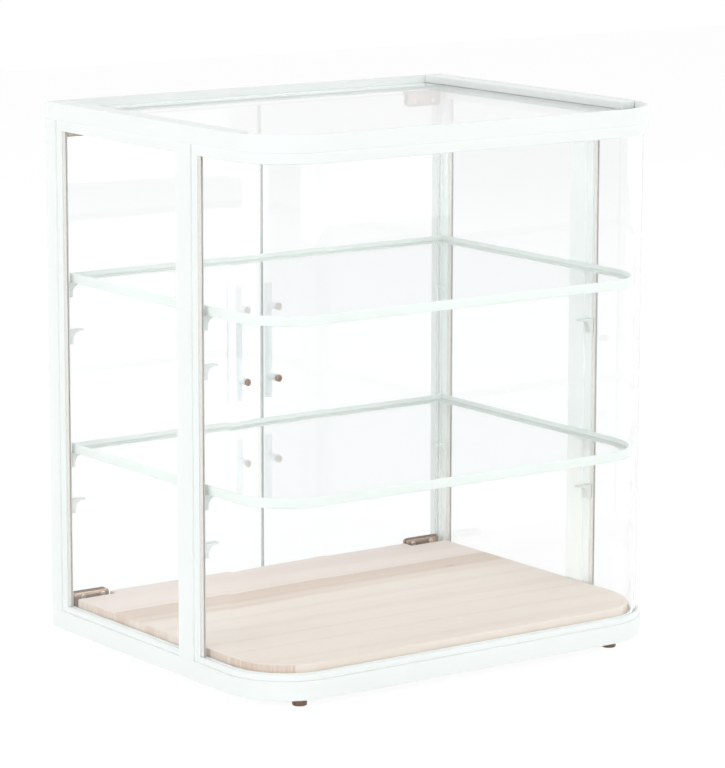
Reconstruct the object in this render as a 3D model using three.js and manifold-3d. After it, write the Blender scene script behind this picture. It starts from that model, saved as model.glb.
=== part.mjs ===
// Counter-top glass display cabinet: a white sheet-metal frame with two rounded front corners,
// a bent glass front, glass sides and top, two glass shelves, a wooden bottom board and two
// frameless glass doors at the back, each turning on two pivot clips.
// Millimetres, +Z up, front towards -Y. The origin is on the counter, under the middle of the box.

import * as THREE from 'three';
import { mergeVertices } from 'three/addons/utils/BufferGeometryUtils.js';
import Module from 'manifold-3d';

// ---- Overall ----
const WIDTH = 646;
const DEPTH = 514;
const HEIGHT = 720;
const CORNER_RADIUS = 92;
const CORNER_STEPS = 12;
const REAR_CORNER_RADIUS = 3;
const SHEET = 2;
const FIT = 0.3;
const ROUND_STEPS = 16;
const NOSE_STEPS = 4;

// ---- Base frame and feet ----
const FOOT_HEIGHT = 14;
const FOOT_RADIUS = 10;
const FOOT_SPIGOT_RADIUS = 3.7;
const FOOT_DRAFT = 0.6;
const FOOT_EDGE_ROUND = 1.4;
const FOOT_SPIGOT_PAST = 1.5;
const FOOT_FROM_SIDE = 73;
const FOOT_FROM_EDGE = 36;
const SKIRT_HEIGHT = 24.6;
const SKIRT_FLANGE = 48;
const SEAT_FLANGE = 40;
const SKIRT_EDGE_ROUND = 1.5;

// ---- Top rim ----
const RIM_HEIGHT = 22.5;
const RIM_LIP = 4;
const RIM_FLANGE = 28;
const RIM_EDGE_ROUND = 1.6;
const TOP_PANE = 6;
const TOP_PANE_DROP = 10.5;
const TRIM_WIDTH = 23.5;
const TRIM_GAP = 1.3;
const TRIM_DROP = 0.5;
const TRIM_FRONT_GAP = 80;

// ---- Fixed panes and the channels they stand in ----
const PANE = 4;
const PANE_INSET = 6;
const CHANNEL_WIDTH = 10;
const CHANNEL_INSET = 3;
const CHANNEL_FLOOR = 2.4;
const CHANNEL_EDGE_ROUND = 1.6;
const BASE_CHANNEL_HEIGHT = 8.4;
const BASE_CHANNEL_LEAN = 1.4;
const BASE_CHANNEL_ROUND = 4.8;
const TOP_CHANNEL_HEIGHT = 14.3;
const TOP_CHANNEL_ROUND = 3;

// ---- Posts and gaskets ----
const POST_THICKNESS = 16;
const POST_NOSE = 4;
const POST_STRIP = 12;
const POST_WALL = 2;
const POST_EDGE_ROUND = 1.2;
const FRONT_POST_FLAT = 28;
const FRONT_POST_BACK = 201;
const REAR_POST_FLAT = 19;
const PANE_IN_POST = 5;
const SIDE_PANE_IN_POST = 9;
const GASKET_LIP = 0.8;
const GASKET_SHOW = 7;

// ---- Bottom board ----
const BOARD_INSET = 17.5;
const BOARD_THICKNESS = 18;
const BOARD_EASE = 1.5;
const BOARD_DOOR_GAP = 1;
const CLIP_NOTCH_DEPTH = 17;
const CLIP_NOTCH_GAP = 3;

// ---- Shelves and their brackets ----
const SHELF_INSET = 17.5;
const SHELF_REAR = 32;
const SHELF_RAIL_HEIGHT = 12.5;
const SHELF_WALL = 2.2;
const SHELF_FLANGE = 14;
const SHELF_PANE = 5;
const LOWER_SHELF_LEVEL = 255;
const UPPER_SHELF_LEVEL = 483;
const BRACKET_STEP = 62.6;
const SHELF_EDGE_BEVEL = 0.7;
const BRACKET_REACH = 22;
const BRACKET_HEIGHT = 19;
const BRACKET_WIDTH = 9;
const BRACKET_PLATE = 2.4;
const BRACKET_LEG = 6;
const BRACKET_PAST_STRIP = 4;

// ---- Doors, pivot clips and handles ----
const DOOR_PANE = 6;
const DOOR_INSET = 21.5;
const DOOR_SIDE_GAP = 4;
const DOOR_MIDDLE_GAP = 3;
const CLIP_LENGTH = 55;
const CLIP_HEIGHT = 20;
const CLIP_THICKNESS = 14;
const CLIP_WEB = 3;
const CLIP_ROUND = 4;
const CLIP_FRAME_GAP = 2.4;
const PIVOT_FROM_END = 7;
const PIN_RADIUS = 3;
const PIN_PLAY = 0.2;
const PIN_LENGTH = 6;
const COLLAR_RADIUS = 6;
const CLAMP_SCREW_RADIUS = 3.5;
const CLAMP_SCREW_HEIGHT = 2;
const CLAMP_SCREW_BITE = 1;
const CLAMP_SCREW_PLACES = [14, 45];
const HANDLE_X = 28.5;
const HANDLE_Z = 366.5;
const HANDLE_LENGTH = 156;
const HANDLE_CENTRES = 96;
const HANDLE_RADIUS = 6;
const HANDLE_REACH = 23.5;
const STANDOFF_RADIUS = 5;
const HANDLE_SCREW_RADIUS = 2.5;
const SCREW_HEAD_RADIUS = 5;
const SCREW_HEAD_HEIGHT = 3.2;
const SCREW_SOCKET_RADIUS = 2.4;
const SCREW_SOCKET_DEPTH = 1.8;

// ---- Levels and places that follow from the sizes above ----
const HALF_WIDTH = WIDTH / 2;
const REAR = DEPTH / 2;
const SKIRT_TOP = FOOT_HEIGHT + SKIRT_HEIGHT;
const RIM_BOTTOM = HEIGHT - RIM_HEIGHT;
const TOP_PANE_TOP = HEIGHT - TOP_PANE_DROP;
const TOP_PANE_BOTTOM = TOP_PANE_TOP - TOP_PANE;
const PANE_BOTTOM = SKIRT_TOP + CHANNEL_FLOOR + FIT;
const PANE_TOP = RIM_BOTTOM - CHANNEL_FLOOR - FIT;
const BASE_CHANNEL_TOP = SKIRT_TOP + BASE_CHANNEL_HEIGHT;
const TOP_CHANNEL_BOTTOM = RIM_BOTTOM - TOP_CHANNEL_HEIGHT;
const STRIP_INSET = POST_NOSE;
const STRIP_INNER = POST_THICKNESS - POST_NOSE;
const FRONT_POST_LENGTH = FRONT_POST_FLAT + POST_NOSE + POST_STRIP;
const REAR_POST_LENGTH = REAR_POST_FLAT + POST_NOSE + POST_STRIP;
const FRONT_POST_REAR_Y = -REAR + FRONT_POST_BACK;
const FRONT_POST_FRONT_Y = FRONT_POST_REAR_Y - FRONT_POST_LENGTH;
const REAR_POST_FRONT_Y = REAR - REAR_POST_LENGTH;
const DOOR_Y = REAR - DOOR_INSET;
const DOOR_OUTER_X = HALF_WIDTH - POST_THICKNESS - DOOR_SIDE_GAP;
const CLIP_BOTTOM = SKIRT_TOP + CLIP_FRAME_GAP;
const CLIP_TOP = RIM_BOTTOM - CLIP_FRAME_GAP;
const PIVOT_X = DOOR_OUTER_X - PIVOT_FROM_END;
const BOARD_REAR = DOOR_Y - DOOR_PANE / 2 - BOARD_DOOR_GAP;
const HANDLE_BACK = DOOR_Y + DOOR_PANE / 2 + HANDLE_REACH + HANDLE_RADIUS;

// ---- Finishes ----
function finish(color, roughness, metalness = 0) {
  return new THREE.MeshStandardMaterial({ color, roughness, metalness });
}

const powderCoat = () => finish(0xf3f7f5, 0.45);
const handleCoat = () => finish(0xf4faf8, 0.4);
const seal = () => finish(0xc9ccc2, 0.8);
const nickel = () => finish(0xb9a596, 0.25, 1);
const darkSteel = () => finish(0x6a5345, 0.35, 1);
const footPlastic = () => finish(0x5e4638, 0.6);
const paleWood = () => finish(0xe4d7cb, 0.55);

function glass() {
  const material = finish(0xeef6f4, 0.05);
  material.transparent = true;
  material.opacity = 0.25;
  return material;
}

// ---- Closed solids for cutting and joining ----
const wasm = await Module();
wasm.setup();

function solidOf(geometry) {
  const bare = geometry.clone();
  bare.deleteAttribute('normal');
  bare.deleteAttribute('uv');
  const merged = mergeVertices(bare);
  const vertProperties = new Float32Array(merged.attributes.position.array);
  const triVerts = new Uint32Array(merged.index.array);
  return new wasm.Manifold(new wasm.Mesh({ numProp: 3, vertProperties, triVerts }));
}

function geometryOf(solid) {
  const { vertProperties, triVerts } = solid.getMesh();
  const geometry = new THREE.BufferGeometry();
  geometry.setAttribute('position', new THREE.BufferAttribute(vertProperties, 3));
  geometry.setIndex(new THREE.BufferAttribute(triVerts, 1));
  return geometry;
}

function joined(geometries) {
  return geometryOf(geometries.map(solidOf).reduce((all, next) => all.add(next)));
}

function cut(geometry, cutters) {
  return geometryOf(cutters.map(solidOf).reduce((rest, cutter) => rest.subtract(cutter), solidOf(geometry)));
}

// ---- Basic forms ----
function block(x0, x1, y0, y1, z0, z1) {
  const geometry = new THREE.BoxGeometry(Math.abs(x1 - x0), Math.abs(y1 - y0), Math.abs(z1 - z0));
  return geometry.translate((x0 + x1) / 2, (y0 + y1) / 2, (z0 + z1) / 2);
}

function uprightCylinder(x, y, z0, z1, radius) {
  const geometry = new THREE.CylinderGeometry(radius, radius, z1 - z0, ROUND_STEPS);
  return geometry.rotateX(Math.PI / 2).translate(x, y, (z0 + z1) / 2);
}

function cylinderAlongY(x, z, y0, y1, radius) {
  const geometry = new THREE.CylinderGeometry(radius, radius, y1 - y0, ROUND_STEPS);
  return geometry.translate(x, (y0 + y1) / 2, z);
}

function slab(shape, z0, z1, curveSegments = CORNER_STEPS) {
  const geometry = new THREE.ExtrudeGeometry(shape, { depth: z1 - z0, bevelEnabled: false, curveSegments });
  return geometry.translate(0, 0, z0);
}

// A shape drawn in (x, z) and given a thickness from y0 to y1.
function plateAlongY(shape, y0, y1, curveSegments = NOSE_STEPS) {
  const geometry = new THREE.ExtrudeGeometry(shape, { depth: y1 - y0, bevelEnabled: false, curveSegments });
  return geometry.rotateX(Math.PI / 2).translate(0, y1, 0);
}

// The cabinet's outline in plan, drawn in by an inset, with round front corners.
function planOutline(inset, rearY, rearRadius = 0) {
  const x = HALF_WIDTH - inset;
  const front = -REAR + inset;
  const radius = CORNER_RADIUS - inset;
  const shape = new THREE.Shape();
  shape.moveTo(x, front + radius);
  shape.lineTo(x, rearY - rearRadius);
  if (rearRadius > 0) {
    shape.absarc(x - rearRadius, rearY - rearRadius, rearRadius, 0, Math.PI / 2);
    shape.absarc(-x + rearRadius, rearY - rearRadius, rearRadius, Math.PI / 2, Math.PI);
  } else {
    shape.lineTo(x, rearY);
    shape.lineTo(-x, rearY);
  }
  shape.lineTo(-x, front + radius);
  shape.absarc(-x + radius, front + radius, radius, Math.PI, Math.PI * 1.5);
  shape.absarc(x - radius, front + radius, radius, Math.PI * 1.5, Math.PI * 2);
  return shape;
}

// ---- Sweeping a section along the outline ----
// A station is a point on the outer outline with the direction in which a section's n grows.
function frontStations(inset) {
  const x = HALF_WIDTH - inset;
  const radius = CORNER_RADIUS - inset;
  const centreX = x - radius;
  const centreY = -REAR + inset + radius;
  const stations = [];
  for (const start of [Math.PI, Math.PI * 1.5]) {
    for (let step = 0; step <= CORNER_STEPS; step += 1) {
      const angle = start + (step / CORNER_STEPS) * (Math.PI / 2);
      const side = start === Math.PI ? -1 : 1;
      stations.push({
        x: side * centreX + radius * Math.cos(angle),
        y: centreY + radius * Math.sin(angle),
        dx: -Math.cos(angle),
        dy: -Math.sin(angle),
      });
    }
  }
  return stations;
}

function ringStations(inset, rearY) {
  const x = HALF_WIDTH - inset;
  const rearRight = { x, y: rearY, dx: -1, dy: -1 };
  const rearLeft = { x: -x, y: rearY, dx: 1, dy: -1 };
  return [rearLeft, ...frontStations(inset), rearRight];
}

function frontRunStations(backY) {
  const left = { x: -HALF_WIDTH, y: backY, dx: 1, dy: 0 };
  const right = { x: HALF_WIDTH, y: backY, dx: -1, dy: 0 };
  return [left, ...frontStations(0), right];
}

function sideRunStations(side, frontY, backY) {
  const ends = [backY, frontY].map((y) => ({ x: side * HALF_WIDTH, y, dx: -side, dy: 0 }));
  return side < 0 ? ends : ends.reverse();
}

function sweep(stations, section, closed) {
  const points = THREE.ShapeUtils.isClockWise(section) ? [...section].reverse() : section;
  const count = points.length;
  const positions = [];
  const index = [];
  for (const { x, y, dx, dy } of stations) {
    for (const point of points) {
      positions.push(x + dx * point.x, y + dy * point.x, point.y);
    }
  }
  const spans = closed ? stations.length : stations.length - 1;
  for (let span = 0; span < spans; span += 1) {
    const here = span * count;
    const next = ((span + 1) % stations.length) * count;
    for (let corner = 0; corner < count; corner += 1) {
      const after = (corner + 1) % count;
      index.push(here + corner, next + after, next + corner);
      index.push(here + corner, here + after, next + after);
    }
  }
  if (!closed) {
    const last = (stations.length - 1) * count;
    for (const [a, b, c] of THREE.ShapeUtils.triangulateShape(points, [])) {
      index.push(a, c, b);
      index.push(last + a, last + b, last + c);
    }
  }
  const geometry = new THREE.BufferGeometry();
  geometry.setAttribute('position', new THREE.Float32BufferAttribute(positions, 3));
  geometry.setIndex(index);
  return geometry;
}

function sectionPoints(path, divisions = 3) {
  const points = path.getPoints(divisions);
  const ends = points[0].distanceTo(points[points.length - 1]);
  return ends < 1e-6 ? points.slice(0, -1) : points;
}

// ---- Base frame: skirt outside, seat flange above, foot flange below ----
function baseFrameSection() {
  const edge = SKIRT_EDGE_ROUND;
  const path = new THREE.Path();
  path.moveTo(SKIRT_FLANGE, FOOT_HEIGHT);
  path.lineTo(edge, FOOT_HEIGHT);
  path.quadraticCurveTo(0, FOOT_HEIGHT, 0, FOOT_HEIGHT + edge);
  path.lineTo(0, SKIRT_TOP - edge);
  path.quadraticCurveTo(0, SKIRT_TOP, edge, SKIRT_TOP);
  path.lineTo(SEAT_FLANGE, SKIRT_TOP);
  path.lineTo(SEAT_FLANGE, SKIRT_TOP - SHEET);
  path.lineTo(SHEET, SKIRT_TOP - SHEET);
  path.lineTo(SHEET, FOOT_HEIGHT + SHEET);
  path.lineTo(SKIRT_FLANGE, FOOT_HEIGHT + SHEET);
  return sectionPoints(path);
}

function footPlaces() {
  const x = HALF_WIDTH - FOOT_FROM_SIDE;
  const y = REAR - FOOT_FROM_EDGE;
  return [
    ['front_left', -x, -y],
    ['front_right', x, -y],
    ['rear_left', -x, y],
    ['rear_right', x, y],
  ];
}

function squareCornersRounded(ring, z0, z1) {
  const envelope = slab(planOutline(0, REAR, REAR_CORNER_RADIUS), z0, z1);
  return geometryOf(solidOf(ring).intersect(solidOf(envelope)));
}

function pivotHoles(z0, z1) {
  return [-1, 1].map((side) => uprightCylinder(side * PIVOT_X, DOOR_Y, z0, z1, PIN_RADIUS + PIN_PLAY));
}

function baseFrame() {
  const ring = sweep(ringStations(0, REAR), baseFrameSection(), true);
  const rounded = squareCornersRounded(ring, FOOT_HEIGHT - 1, SKIRT_TOP + 1);
  const footHoles = footPlaces().map(([, x, y]) =>
    uprightCylinder(x, y, FOOT_HEIGHT - 1, FOOT_HEIGHT + SHEET + 1, FOOT_SPIGOT_RADIUS + FIT));
  return cut(rounded, [...footHoles, ...pivotHoles(SKIRT_TOP - SHEET - 1, SKIRT_TOP + 1)]);
}

// A moulded foot with a spigot that snaps into the foot flange.
function foot() {
  const profile = new THREE.Path();
  const spigotTop = FOOT_HEIGHT + SHEET + FOOT_SPIGOT_PAST;
  const treadRadius = FOOT_RADIUS - FOOT_DRAFT;
  profile.moveTo(0, 0);
  profile.lineTo(treadRadius - FOOT_EDGE_ROUND, 0);
  profile.quadraticCurveTo(treadRadius, 0, treadRadius, FOOT_EDGE_ROUND);
  profile.lineTo(FOOT_RADIUS, FOOT_HEIGHT - FIT);
  profile.lineTo(FOOT_SPIGOT_RADIUS, FOOT_HEIGHT - FIT);
  profile.lineTo(FOOT_SPIGOT_RADIUS, spigotTop - 1);
  profile.lineTo(FOOT_SPIGOT_RADIUS - 1, spigotTop);
  profile.lineTo(0, spigotTop);
  const geometry = new THREE.LatheGeometry(profile.getPoints(3), ROUND_STEPS);
  return geometry.rotateX(Math.PI / 2);
}

// ---- Top rim: lip above, rebate for the top pane, folded flange under it ----
function rimSection() {
  const edge = RIM_EDGE_ROUND;
  const path = new THREE.Path();
  path.moveTo(RIM_FLANGE, RIM_BOTTOM);
  path.lineTo(edge, RIM_BOTTOM);
  path.quadraticCurveTo(0, RIM_BOTTOM, 0, RIM_BOTTOM + edge);
  path.lineTo(0, HEIGHT - edge);
  path.quadraticCurveTo(0, HEIGHT, edge, HEIGHT);
  path.lineTo(RIM_LIP, HEIGHT);
  path.lineTo(RIM_LIP, TOP_PANE_BOTTOM);
  path.lineTo(RIM_FLANGE, TOP_PANE_BOTTOM);
  path.lineTo(RIM_FLANGE, TOP_PANE_BOTTOM - SHEET);
  path.lineTo(RIM_LIP, TOP_PANE_BOTTOM - SHEET);
  path.lineTo(RIM_LIP, RIM_BOTTOM + SHEET);
  path.lineTo(RIM_FLANGE, RIM_BOTTOM + SHEET);
  return sectionPoints(path);
}

function topRim() {
  const ring = sweep(ringStations(0, REAR), rimSection(), true);
  const rounded = squareCornersRounded(ring, RIM_BOTTOM - 1, HEIGHT + 1);
  return cut(rounded, pivotHoles(RIM_BOTTOM - 1, RIM_BOTTOM + SHEET + 1));
}

function trimBar(side) {
  const outer = HALF_WIDTH - RIM_LIP - TRIM_GAP;
  const front = -REAR + TRIM_FRONT_GAP;
  const back = REAR - RIM_LIP - TRIM_GAP;
  return block(side * outer, side * (outer - TRIM_WIDTH), front, back, TOP_PANE_TOP, HEIGHT - TRIM_DROP);
}

// ---- Channels that hold the fixed panes ----
function channelSection(seatZ, lipZ, roundHeight, leanIn) {
  const up = Math.sign(lipZ - seatZ);
  const outer = CHANNEL_INSET;
  const inner = CHANNEL_INSET + CHANNEL_WIDTH;
  const slotOuter = PANE_INSET - FIT;
  const slotInner = PANE_INSET + PANE + FIT;
  const floorZ = seatZ + up * CHANNEL_FLOOR;
  const path = new THREE.Path();
  path.moveTo(outer - leanIn, seatZ);
  path.lineTo(outer - leanIn, lipZ - up * roundHeight);
  path.quadraticCurveTo(outer - leanIn, lipZ, outer + CHANNEL_EDGE_ROUND, lipZ);
  path.lineTo(slotOuter, lipZ);
  path.lineTo(slotOuter, floorZ);
  path.lineTo(slotInner, floorZ);
  path.lineTo(slotInner, lipZ);
  path.lineTo(inner, lipZ);
  path.lineTo(inner, seatZ);
  return sectionPoints(path);
}

const baseChannelSection = () =>
  channelSection(SKIRT_TOP, BASE_CHANNEL_TOP, BASE_CHANNEL_ROUND, BASE_CHANNEL_LEAN);
const topChannelSection = () => channelSection(RIM_BOTTOM, TOP_CHANNEL_BOTTOM, TOP_CHANNEL_ROUND, 0);

function frontChannel(section) {
  return sweep(frontRunStations(FRONT_POST_FRONT_Y - FIT), section, false);
}

function sideChannel(side, section) {
  return sweep(sideRunStations(side, FRONT_POST_REAR_Y + FIT, REAR_POST_FRONT_Y - FIT), section, false);
}

// ---- Fixed panes ----
function paneSection(z0, z1) {
  const outer = PANE_INSET;
  const inner = PANE_INSET + PANE;
  return [[outer, z0], [inner, z0], [inner, z1], [outer, z1]].map(([n, z]) => new THREE.Vector2(n, z));
}

function frontPane() {
  const stations = frontRunStations(FRONT_POST_FRONT_Y + PANE_IN_POST);
  return sweep(stations, paneSection(PANE_BOTTOM, PANE_TOP), false);
}

function sidePane(side) {
  const front = FRONT_POST_REAR_Y - SIDE_PANE_IN_POST;
  const back = REAR_POST_FRONT_Y + PANE_IN_POST;
  return sweep(sideRunStations(side, front, back), paneSection(PANE_BOTTOM, PANE_TOP), false);
}

function topPane() {
  const inset = RIM_LIP + FIT;
  return slab(planOutline(inset, REAR - inset), TOP_PANE_BOTTOM, TOP_PANE_TOP);
}

// ---- Posts ----
// The section is drawn with u forwards from the post's back edge and n inwards from the outer face:
// a flat cap, a rounded nose and a recessed strip with a slot for the pane and its gasket.
function postShape(flat, slotAtBack) {
  const noseEnd = flat + POST_NOSE;
  const end = noseEnd + POST_STRIP;
  const far = POST_THICKNESS;
  const slotOuter = PANE_INSET - GASKET_LIP - FIT / 2;
  const slotInner = PANE_INSET + PANE + GASKET_LIP + FIT / 2;
  const slotFloor = end - PANE_IN_POST - GASKET_LIP - FIT;
  const shape = new THREE.Shape();
  shape.moveTo(0, POST_EDGE_ROUND);
  shape.quadraticCurveTo(0, 0, POST_EDGE_ROUND, 0);
  shape.lineTo(flat, 0);
  shape.absarc(flat, POST_NOSE, POST_NOSE, -Math.PI / 2, 0);
  shape.lineTo(end, STRIP_INSET);
  shape.lineTo(end, slotOuter);
  shape.lineTo(slotFloor, slotOuter);
  shape.lineTo(slotFloor, slotInner);
  shape.lineTo(end, slotInner);
  shape.lineTo(end, STRIP_INNER);
  shape.lineTo(noseEnd, STRIP_INNER);
  shape.absarc(flat, STRIP_INNER, POST_NOSE, 0, Math.PI / 2);
  shape.lineTo(POST_EDGE_ROUND, far);
  shape.quadraticCurveTo(0, far, 0, far - POST_EDGE_ROUND);
  if (slotAtBack) {
    const slotDepth = SIDE_PANE_IN_POST + FIT;
    shape.lineTo(0, PANE_INSET + PANE + FIT);
    shape.lineTo(slotDepth, PANE_INSET + PANE + FIT);
    shape.lineTo(slotDepth, PANE_INSET - FIT);
    shape.lineTo(0, PANE_INSET - FIT);
  }
  shape.holes.push(postChamber(slotAtBack ? SIDE_PANE_IN_POST + FIT + POST_WALL : POST_WALL, flat));
  return shape;
}

function postChamber(from, to) {
  const hole = new THREE.Path();
  hole.moveTo(from, POST_WALL);
  hole.lineTo(to, POST_WALL);
  hole.lineTo(to, POST_THICKNESS - POST_WALL);
  hole.lineTo(from, POST_THICKNESS - POST_WALL);
  hole.closePath();
  return hole;
}

// Turns a section drawn in (u, n) into an upright bar on one side of the cabinet.
function uprightBar(shape, side, backY, z0, z1) {
  const geometry = slab(shape, 0, z1 - z0, NOSE_STEPS);
  geometry.rotateZ(-Math.PI / 2);
  geometry.translate(-HALF_WIDTH, backY, z0);
  return side < 0 ? geometry : mirroredInX(geometry);
}

function mirroredInX(geometry) {
  const bare = geometry.clone();
  bare.deleteAttribute('normal');
  bare.deleteAttribute('uv');
  const mirrored = mergeVertices(bare);
  mirrored.scale(-1, 1, 1);
  const corners = mirrored.index.array;
  for (let face = 0; face < corners.length; face += 3) {
    [corners[face], corners[face + 1]] = [corners[face + 1], corners[face]];
  }
  return mirrored;
}

const frontPost = (side) =>
  uprightBar(postShape(FRONT_POST_FLAT, true), side, FRONT_POST_REAR_Y, SKIRT_TOP, RIM_BOTTOM);
const rearPost = (side) => uprightBar(postShape(REAR_POST_FLAT, false), side, REAR, SKIRT_TOP, RIM_BOTTOM);

// A dark U-shaped strip pushed over the pane's edge, showing in front of the post's strip.
function gasketShape() {
  const start = -PANE_IN_POST - GASKET_LIP;
  const play = FIT / 4;
  const outer = PANE_INSET - GASKET_LIP - play;
  const inner = PANE_INSET + PANE + GASKET_LIP + play;
  const shape = new THREE.Shape();
  shape.moveTo(start, outer);
  shape.lineTo(GASKET_SHOW, outer);
  shape.lineTo(GASKET_SHOW, PANE_INSET - play);
  shape.lineTo(-PANE_IN_POST - play, PANE_INSET - play);
  shape.lineTo(-PANE_IN_POST - play, PANE_INSET + PANE + play);
  shape.lineTo(GASKET_SHOW, PANE_INSET + PANE + play);
  shape.lineTo(GASKET_SHOW, inner);
  shape.lineTo(start, inner);
  return shape;
}

function gasket(side, postFrontY) {
  return uprightBar(gasketShape(), side, postFrontY, BASE_CHANNEL_TOP + FIT, TOP_CHANNEL_BOTTOM - FIT);
}

// ---- Bottom board, notched at the back for the pivot clips ----
function boardShape() {
  const x = HALF_WIDTH - BOARD_INSET;
  const front = -REAR + BOARD_INSET;
  const radius = CORNER_RADIUS - BOARD_INSET;
  const notchX = DOOR_OUTER_X - CLIP_LENGTH - CLIP_NOTCH_GAP;
  const notchY = BOARD_REAR - CLIP_NOTCH_DEPTH;
  const shape = new THREE.Shape();
  shape.moveTo(x, front + radius);
  shape.lineTo(x, notchY);
  shape.lineTo(notchX, notchY);
  shape.lineTo(notchX, BOARD_REAR);
  shape.lineTo(-notchX, BOARD_REAR);
  shape.lineTo(-notchX, notchY);
  shape.lineTo(-x, notchY);
  shape.lineTo(-x, front + radius);
  shape.absarc(-x + radius, front + radius, radius, Math.PI, Math.PI * 1.5);
  shape.absarc(x - radius, front + radius, radius, Math.PI * 1.5, Math.PI * 2);
  return shape;
}

function bottomBoard() {
  const geometry = new THREE.ExtrudeGeometry(boardShape(), {
    depth: BOARD_THICKNESS - 2 * BOARD_EASE,
    bevelThickness: BOARD_EASE,
    bevelSize: BOARD_EASE,
    bevelOffset: -BOARD_EASE,
    bevelSegments: 2,
    curveSegments: CORNER_STEPS,
  });
  return geometry.translate(0, 0, SKIRT_TOP + BOARD_EASE);
}

// ---- Shelves: an angle frame with round front corners and a pane lying in it ----
function shelfSection(z) {
  const top = z + SHELF_RAIL_HEIGHT;
  const path = new THREE.Path();
  path.moveTo(0, z);
  path.lineTo(SHELF_FLANGE, z);
  path.lineTo(SHELF_FLANGE, z + SHEET);
  path.lineTo(SHELF_WALL, z + SHEET);
  path.lineTo(SHELF_WALL, top - SHELF_EDGE_BEVEL);
  path.lineTo(SHELF_WALL - SHELF_EDGE_BEVEL, top);
  path.lineTo(SHELF_EDGE_BEVEL, top);
  path.lineTo(0, top - SHELF_EDGE_BEVEL);
  return sectionPoints(path);
}

function shelfFrame(z) {
  return sweep(ringStations(SHELF_INSET, REAR - SHELF_REAR), shelfSection(z), true);
}

function shelfPane(z) {
  const inset = SHELF_WALL + FIT;
  const outline = planOutline(SHELF_INSET + inset, REAR - SHELF_REAR - inset);
  return slab(outline, z + SHEET, z + SHEET + SHELF_PANE);
}

// ---- Shelf bracket: thin rounded plate, hollow curve, leg against the post's inner strip ----
function bracketShape() {
  const tip = BRACKET_PLATE / 2;
  const shape = new THREE.Shape();
  shape.moveTo(0, 0);
  shape.lineTo(0, -BRACKET_HEIGHT);
  shape.lineTo(BRACKET_LEG - 1, -BRACKET_HEIGHT);
  shape.lineTo(BRACKET_LEG, -BRACKET_HEIGHT + 1);
  shape.quadraticCurveTo(BRACKET_LEG + 0.6, -BRACKET_PLATE, BRACKET_REACH - tip * 4, -BRACKET_PLATE);
  shape.lineTo(BRACKET_REACH - tip, -BRACKET_PLATE);
  shape.absarc(BRACKET_REACH - tip, -tip, tip, -Math.PI / 2, Math.PI / 2);
  return shape;
}

// One bracket carries each shelf, and a spare one stands a step below it.
function bracketLevels() {
  return [LOWER_SHELF_LEVEL, UPPER_SHELF_LEVEL].flatMap((level) => [level - BRACKET_STEP, level]);
}

function bracket(side, stripEndY, level) {
  const front = stripEndY - BRACKET_PAST_STRIP;
  const geometry = plateAlongY(bracketShape(), front, front + BRACKET_WIDTH);
  geometry.translate(-HALF_WIDTH + STRIP_INNER, 0, level);
  return side < 0 ? geometry : mirroredInX(geometry);
}

// ---- Doors ----
// Everything below is drawn for the left door and mirrored for the right one.
function doorShape() {
  const shape = new THREE.Shape();
  const bottom = CLIP_BOTTOM + CLIP_WEB;
  const top = CLIP_TOP - CLIP_WEB;
  shape.moveTo(-DOOR_OUTER_X, bottom);
  shape.lineTo(-DOOR_MIDDLE_GAP / 2, bottom);
  shape.lineTo(-DOOR_MIDDLE_GAP / 2, top);
  shape.lineTo(-DOOR_OUTER_X, top);
  for (const z of handleScrewLevels()) {
    const hole = new THREE.Path();
    hole.absarc(-HANDLE_X, z, HANDLE_SCREW_RADIUS + FIT, 0, Math.PI * 2);
    shape.holes.push(hole);
  }
  return shape;
}

const doorPane = () => plateAlongY(doorShape(), DOOR_Y - DOOR_PANE / 2, DOOR_Y + DOOR_PANE / 2);

function handleScrewLevels() {
  return [HANDLE_Z - HANDLE_CENTRES / 2, HANDLE_Z + HANDLE_CENTRES / 2];
}

function clipShape() {
  const start = -DOOR_OUTER_X;
  const end = start + CLIP_LENGTH;
  const shape = new THREE.Shape();
  shape.moveTo(start, 0);
  shape.lineTo(end, 0);
  shape.lineTo(end, CLIP_HEIGHT - CLIP_ROUND);
  shape.absarc(end - CLIP_ROUND, CLIP_HEIGHT - CLIP_ROUND, CLIP_ROUND, 0, Math.PI / 2);
  shape.lineTo(start, CLIP_HEIGHT);
  return shape;
}

// The clip is drawn standing on z = 0 with its jaws up, with the pin and collar under it.
function pivotClip() {
  const start = -DOOR_OUTER_X;
  const halfSlot = DOOR_PANE / 2 + FIT;
  const front = DOOR_Y - CLIP_THICKNESS / 2;
  const body = plateAlongY(clipShape(), front, DOOR_Y + CLIP_THICKNESS / 2);
  const slot = block(start - 1, start + CLIP_LENGTH + 1, DOOR_Y - halfSlot, DOOR_Y + halfSlot,
    CLIP_WEB - FIT, CLIP_HEIGHT + 1);
  const collar = uprightCylinder(-PIVOT_X, DOOR_Y, -CLIP_FRAME_GAP + FIT / 3, 1, COLLAR_RADIUS);
  const pin = uprightCylinder(-PIVOT_X, DOOR_Y, -PIN_LENGTH, 1, PIN_RADIUS);
  const screws = CLAMP_SCREW_PLACES.map((place) => clampScrew(start + place, front));
  return joined([cut(body, [slot]), collar, pin, ...screws]);
}

function clampScrew(x, frontY) {
  const profile = new THREE.Path();
  profile.moveTo(0, -CLAMP_SCREW_BITE);
  profile.lineTo(CLAMP_SCREW_RADIUS, -CLAMP_SCREW_BITE);
  profile.lineTo(CLAMP_SCREW_RADIUS, CLAMP_SCREW_HEIGHT * 0.4);
  profile.quadraticCurveTo(CLAMP_SCREW_RADIUS * 0.8, CLAMP_SCREW_HEIGHT, 0, CLAMP_SCREW_HEIGHT);
  const head = new THREE.LatheGeometry(profile.getPoints(3), ROUND_STEPS);
  return head.rotateX(Math.PI).translate(x, frontY, CLIP_HEIGHT / 2);
}

const bottomClip = () => pivotClip().translate(0, 0, CLIP_BOTTOM);

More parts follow.
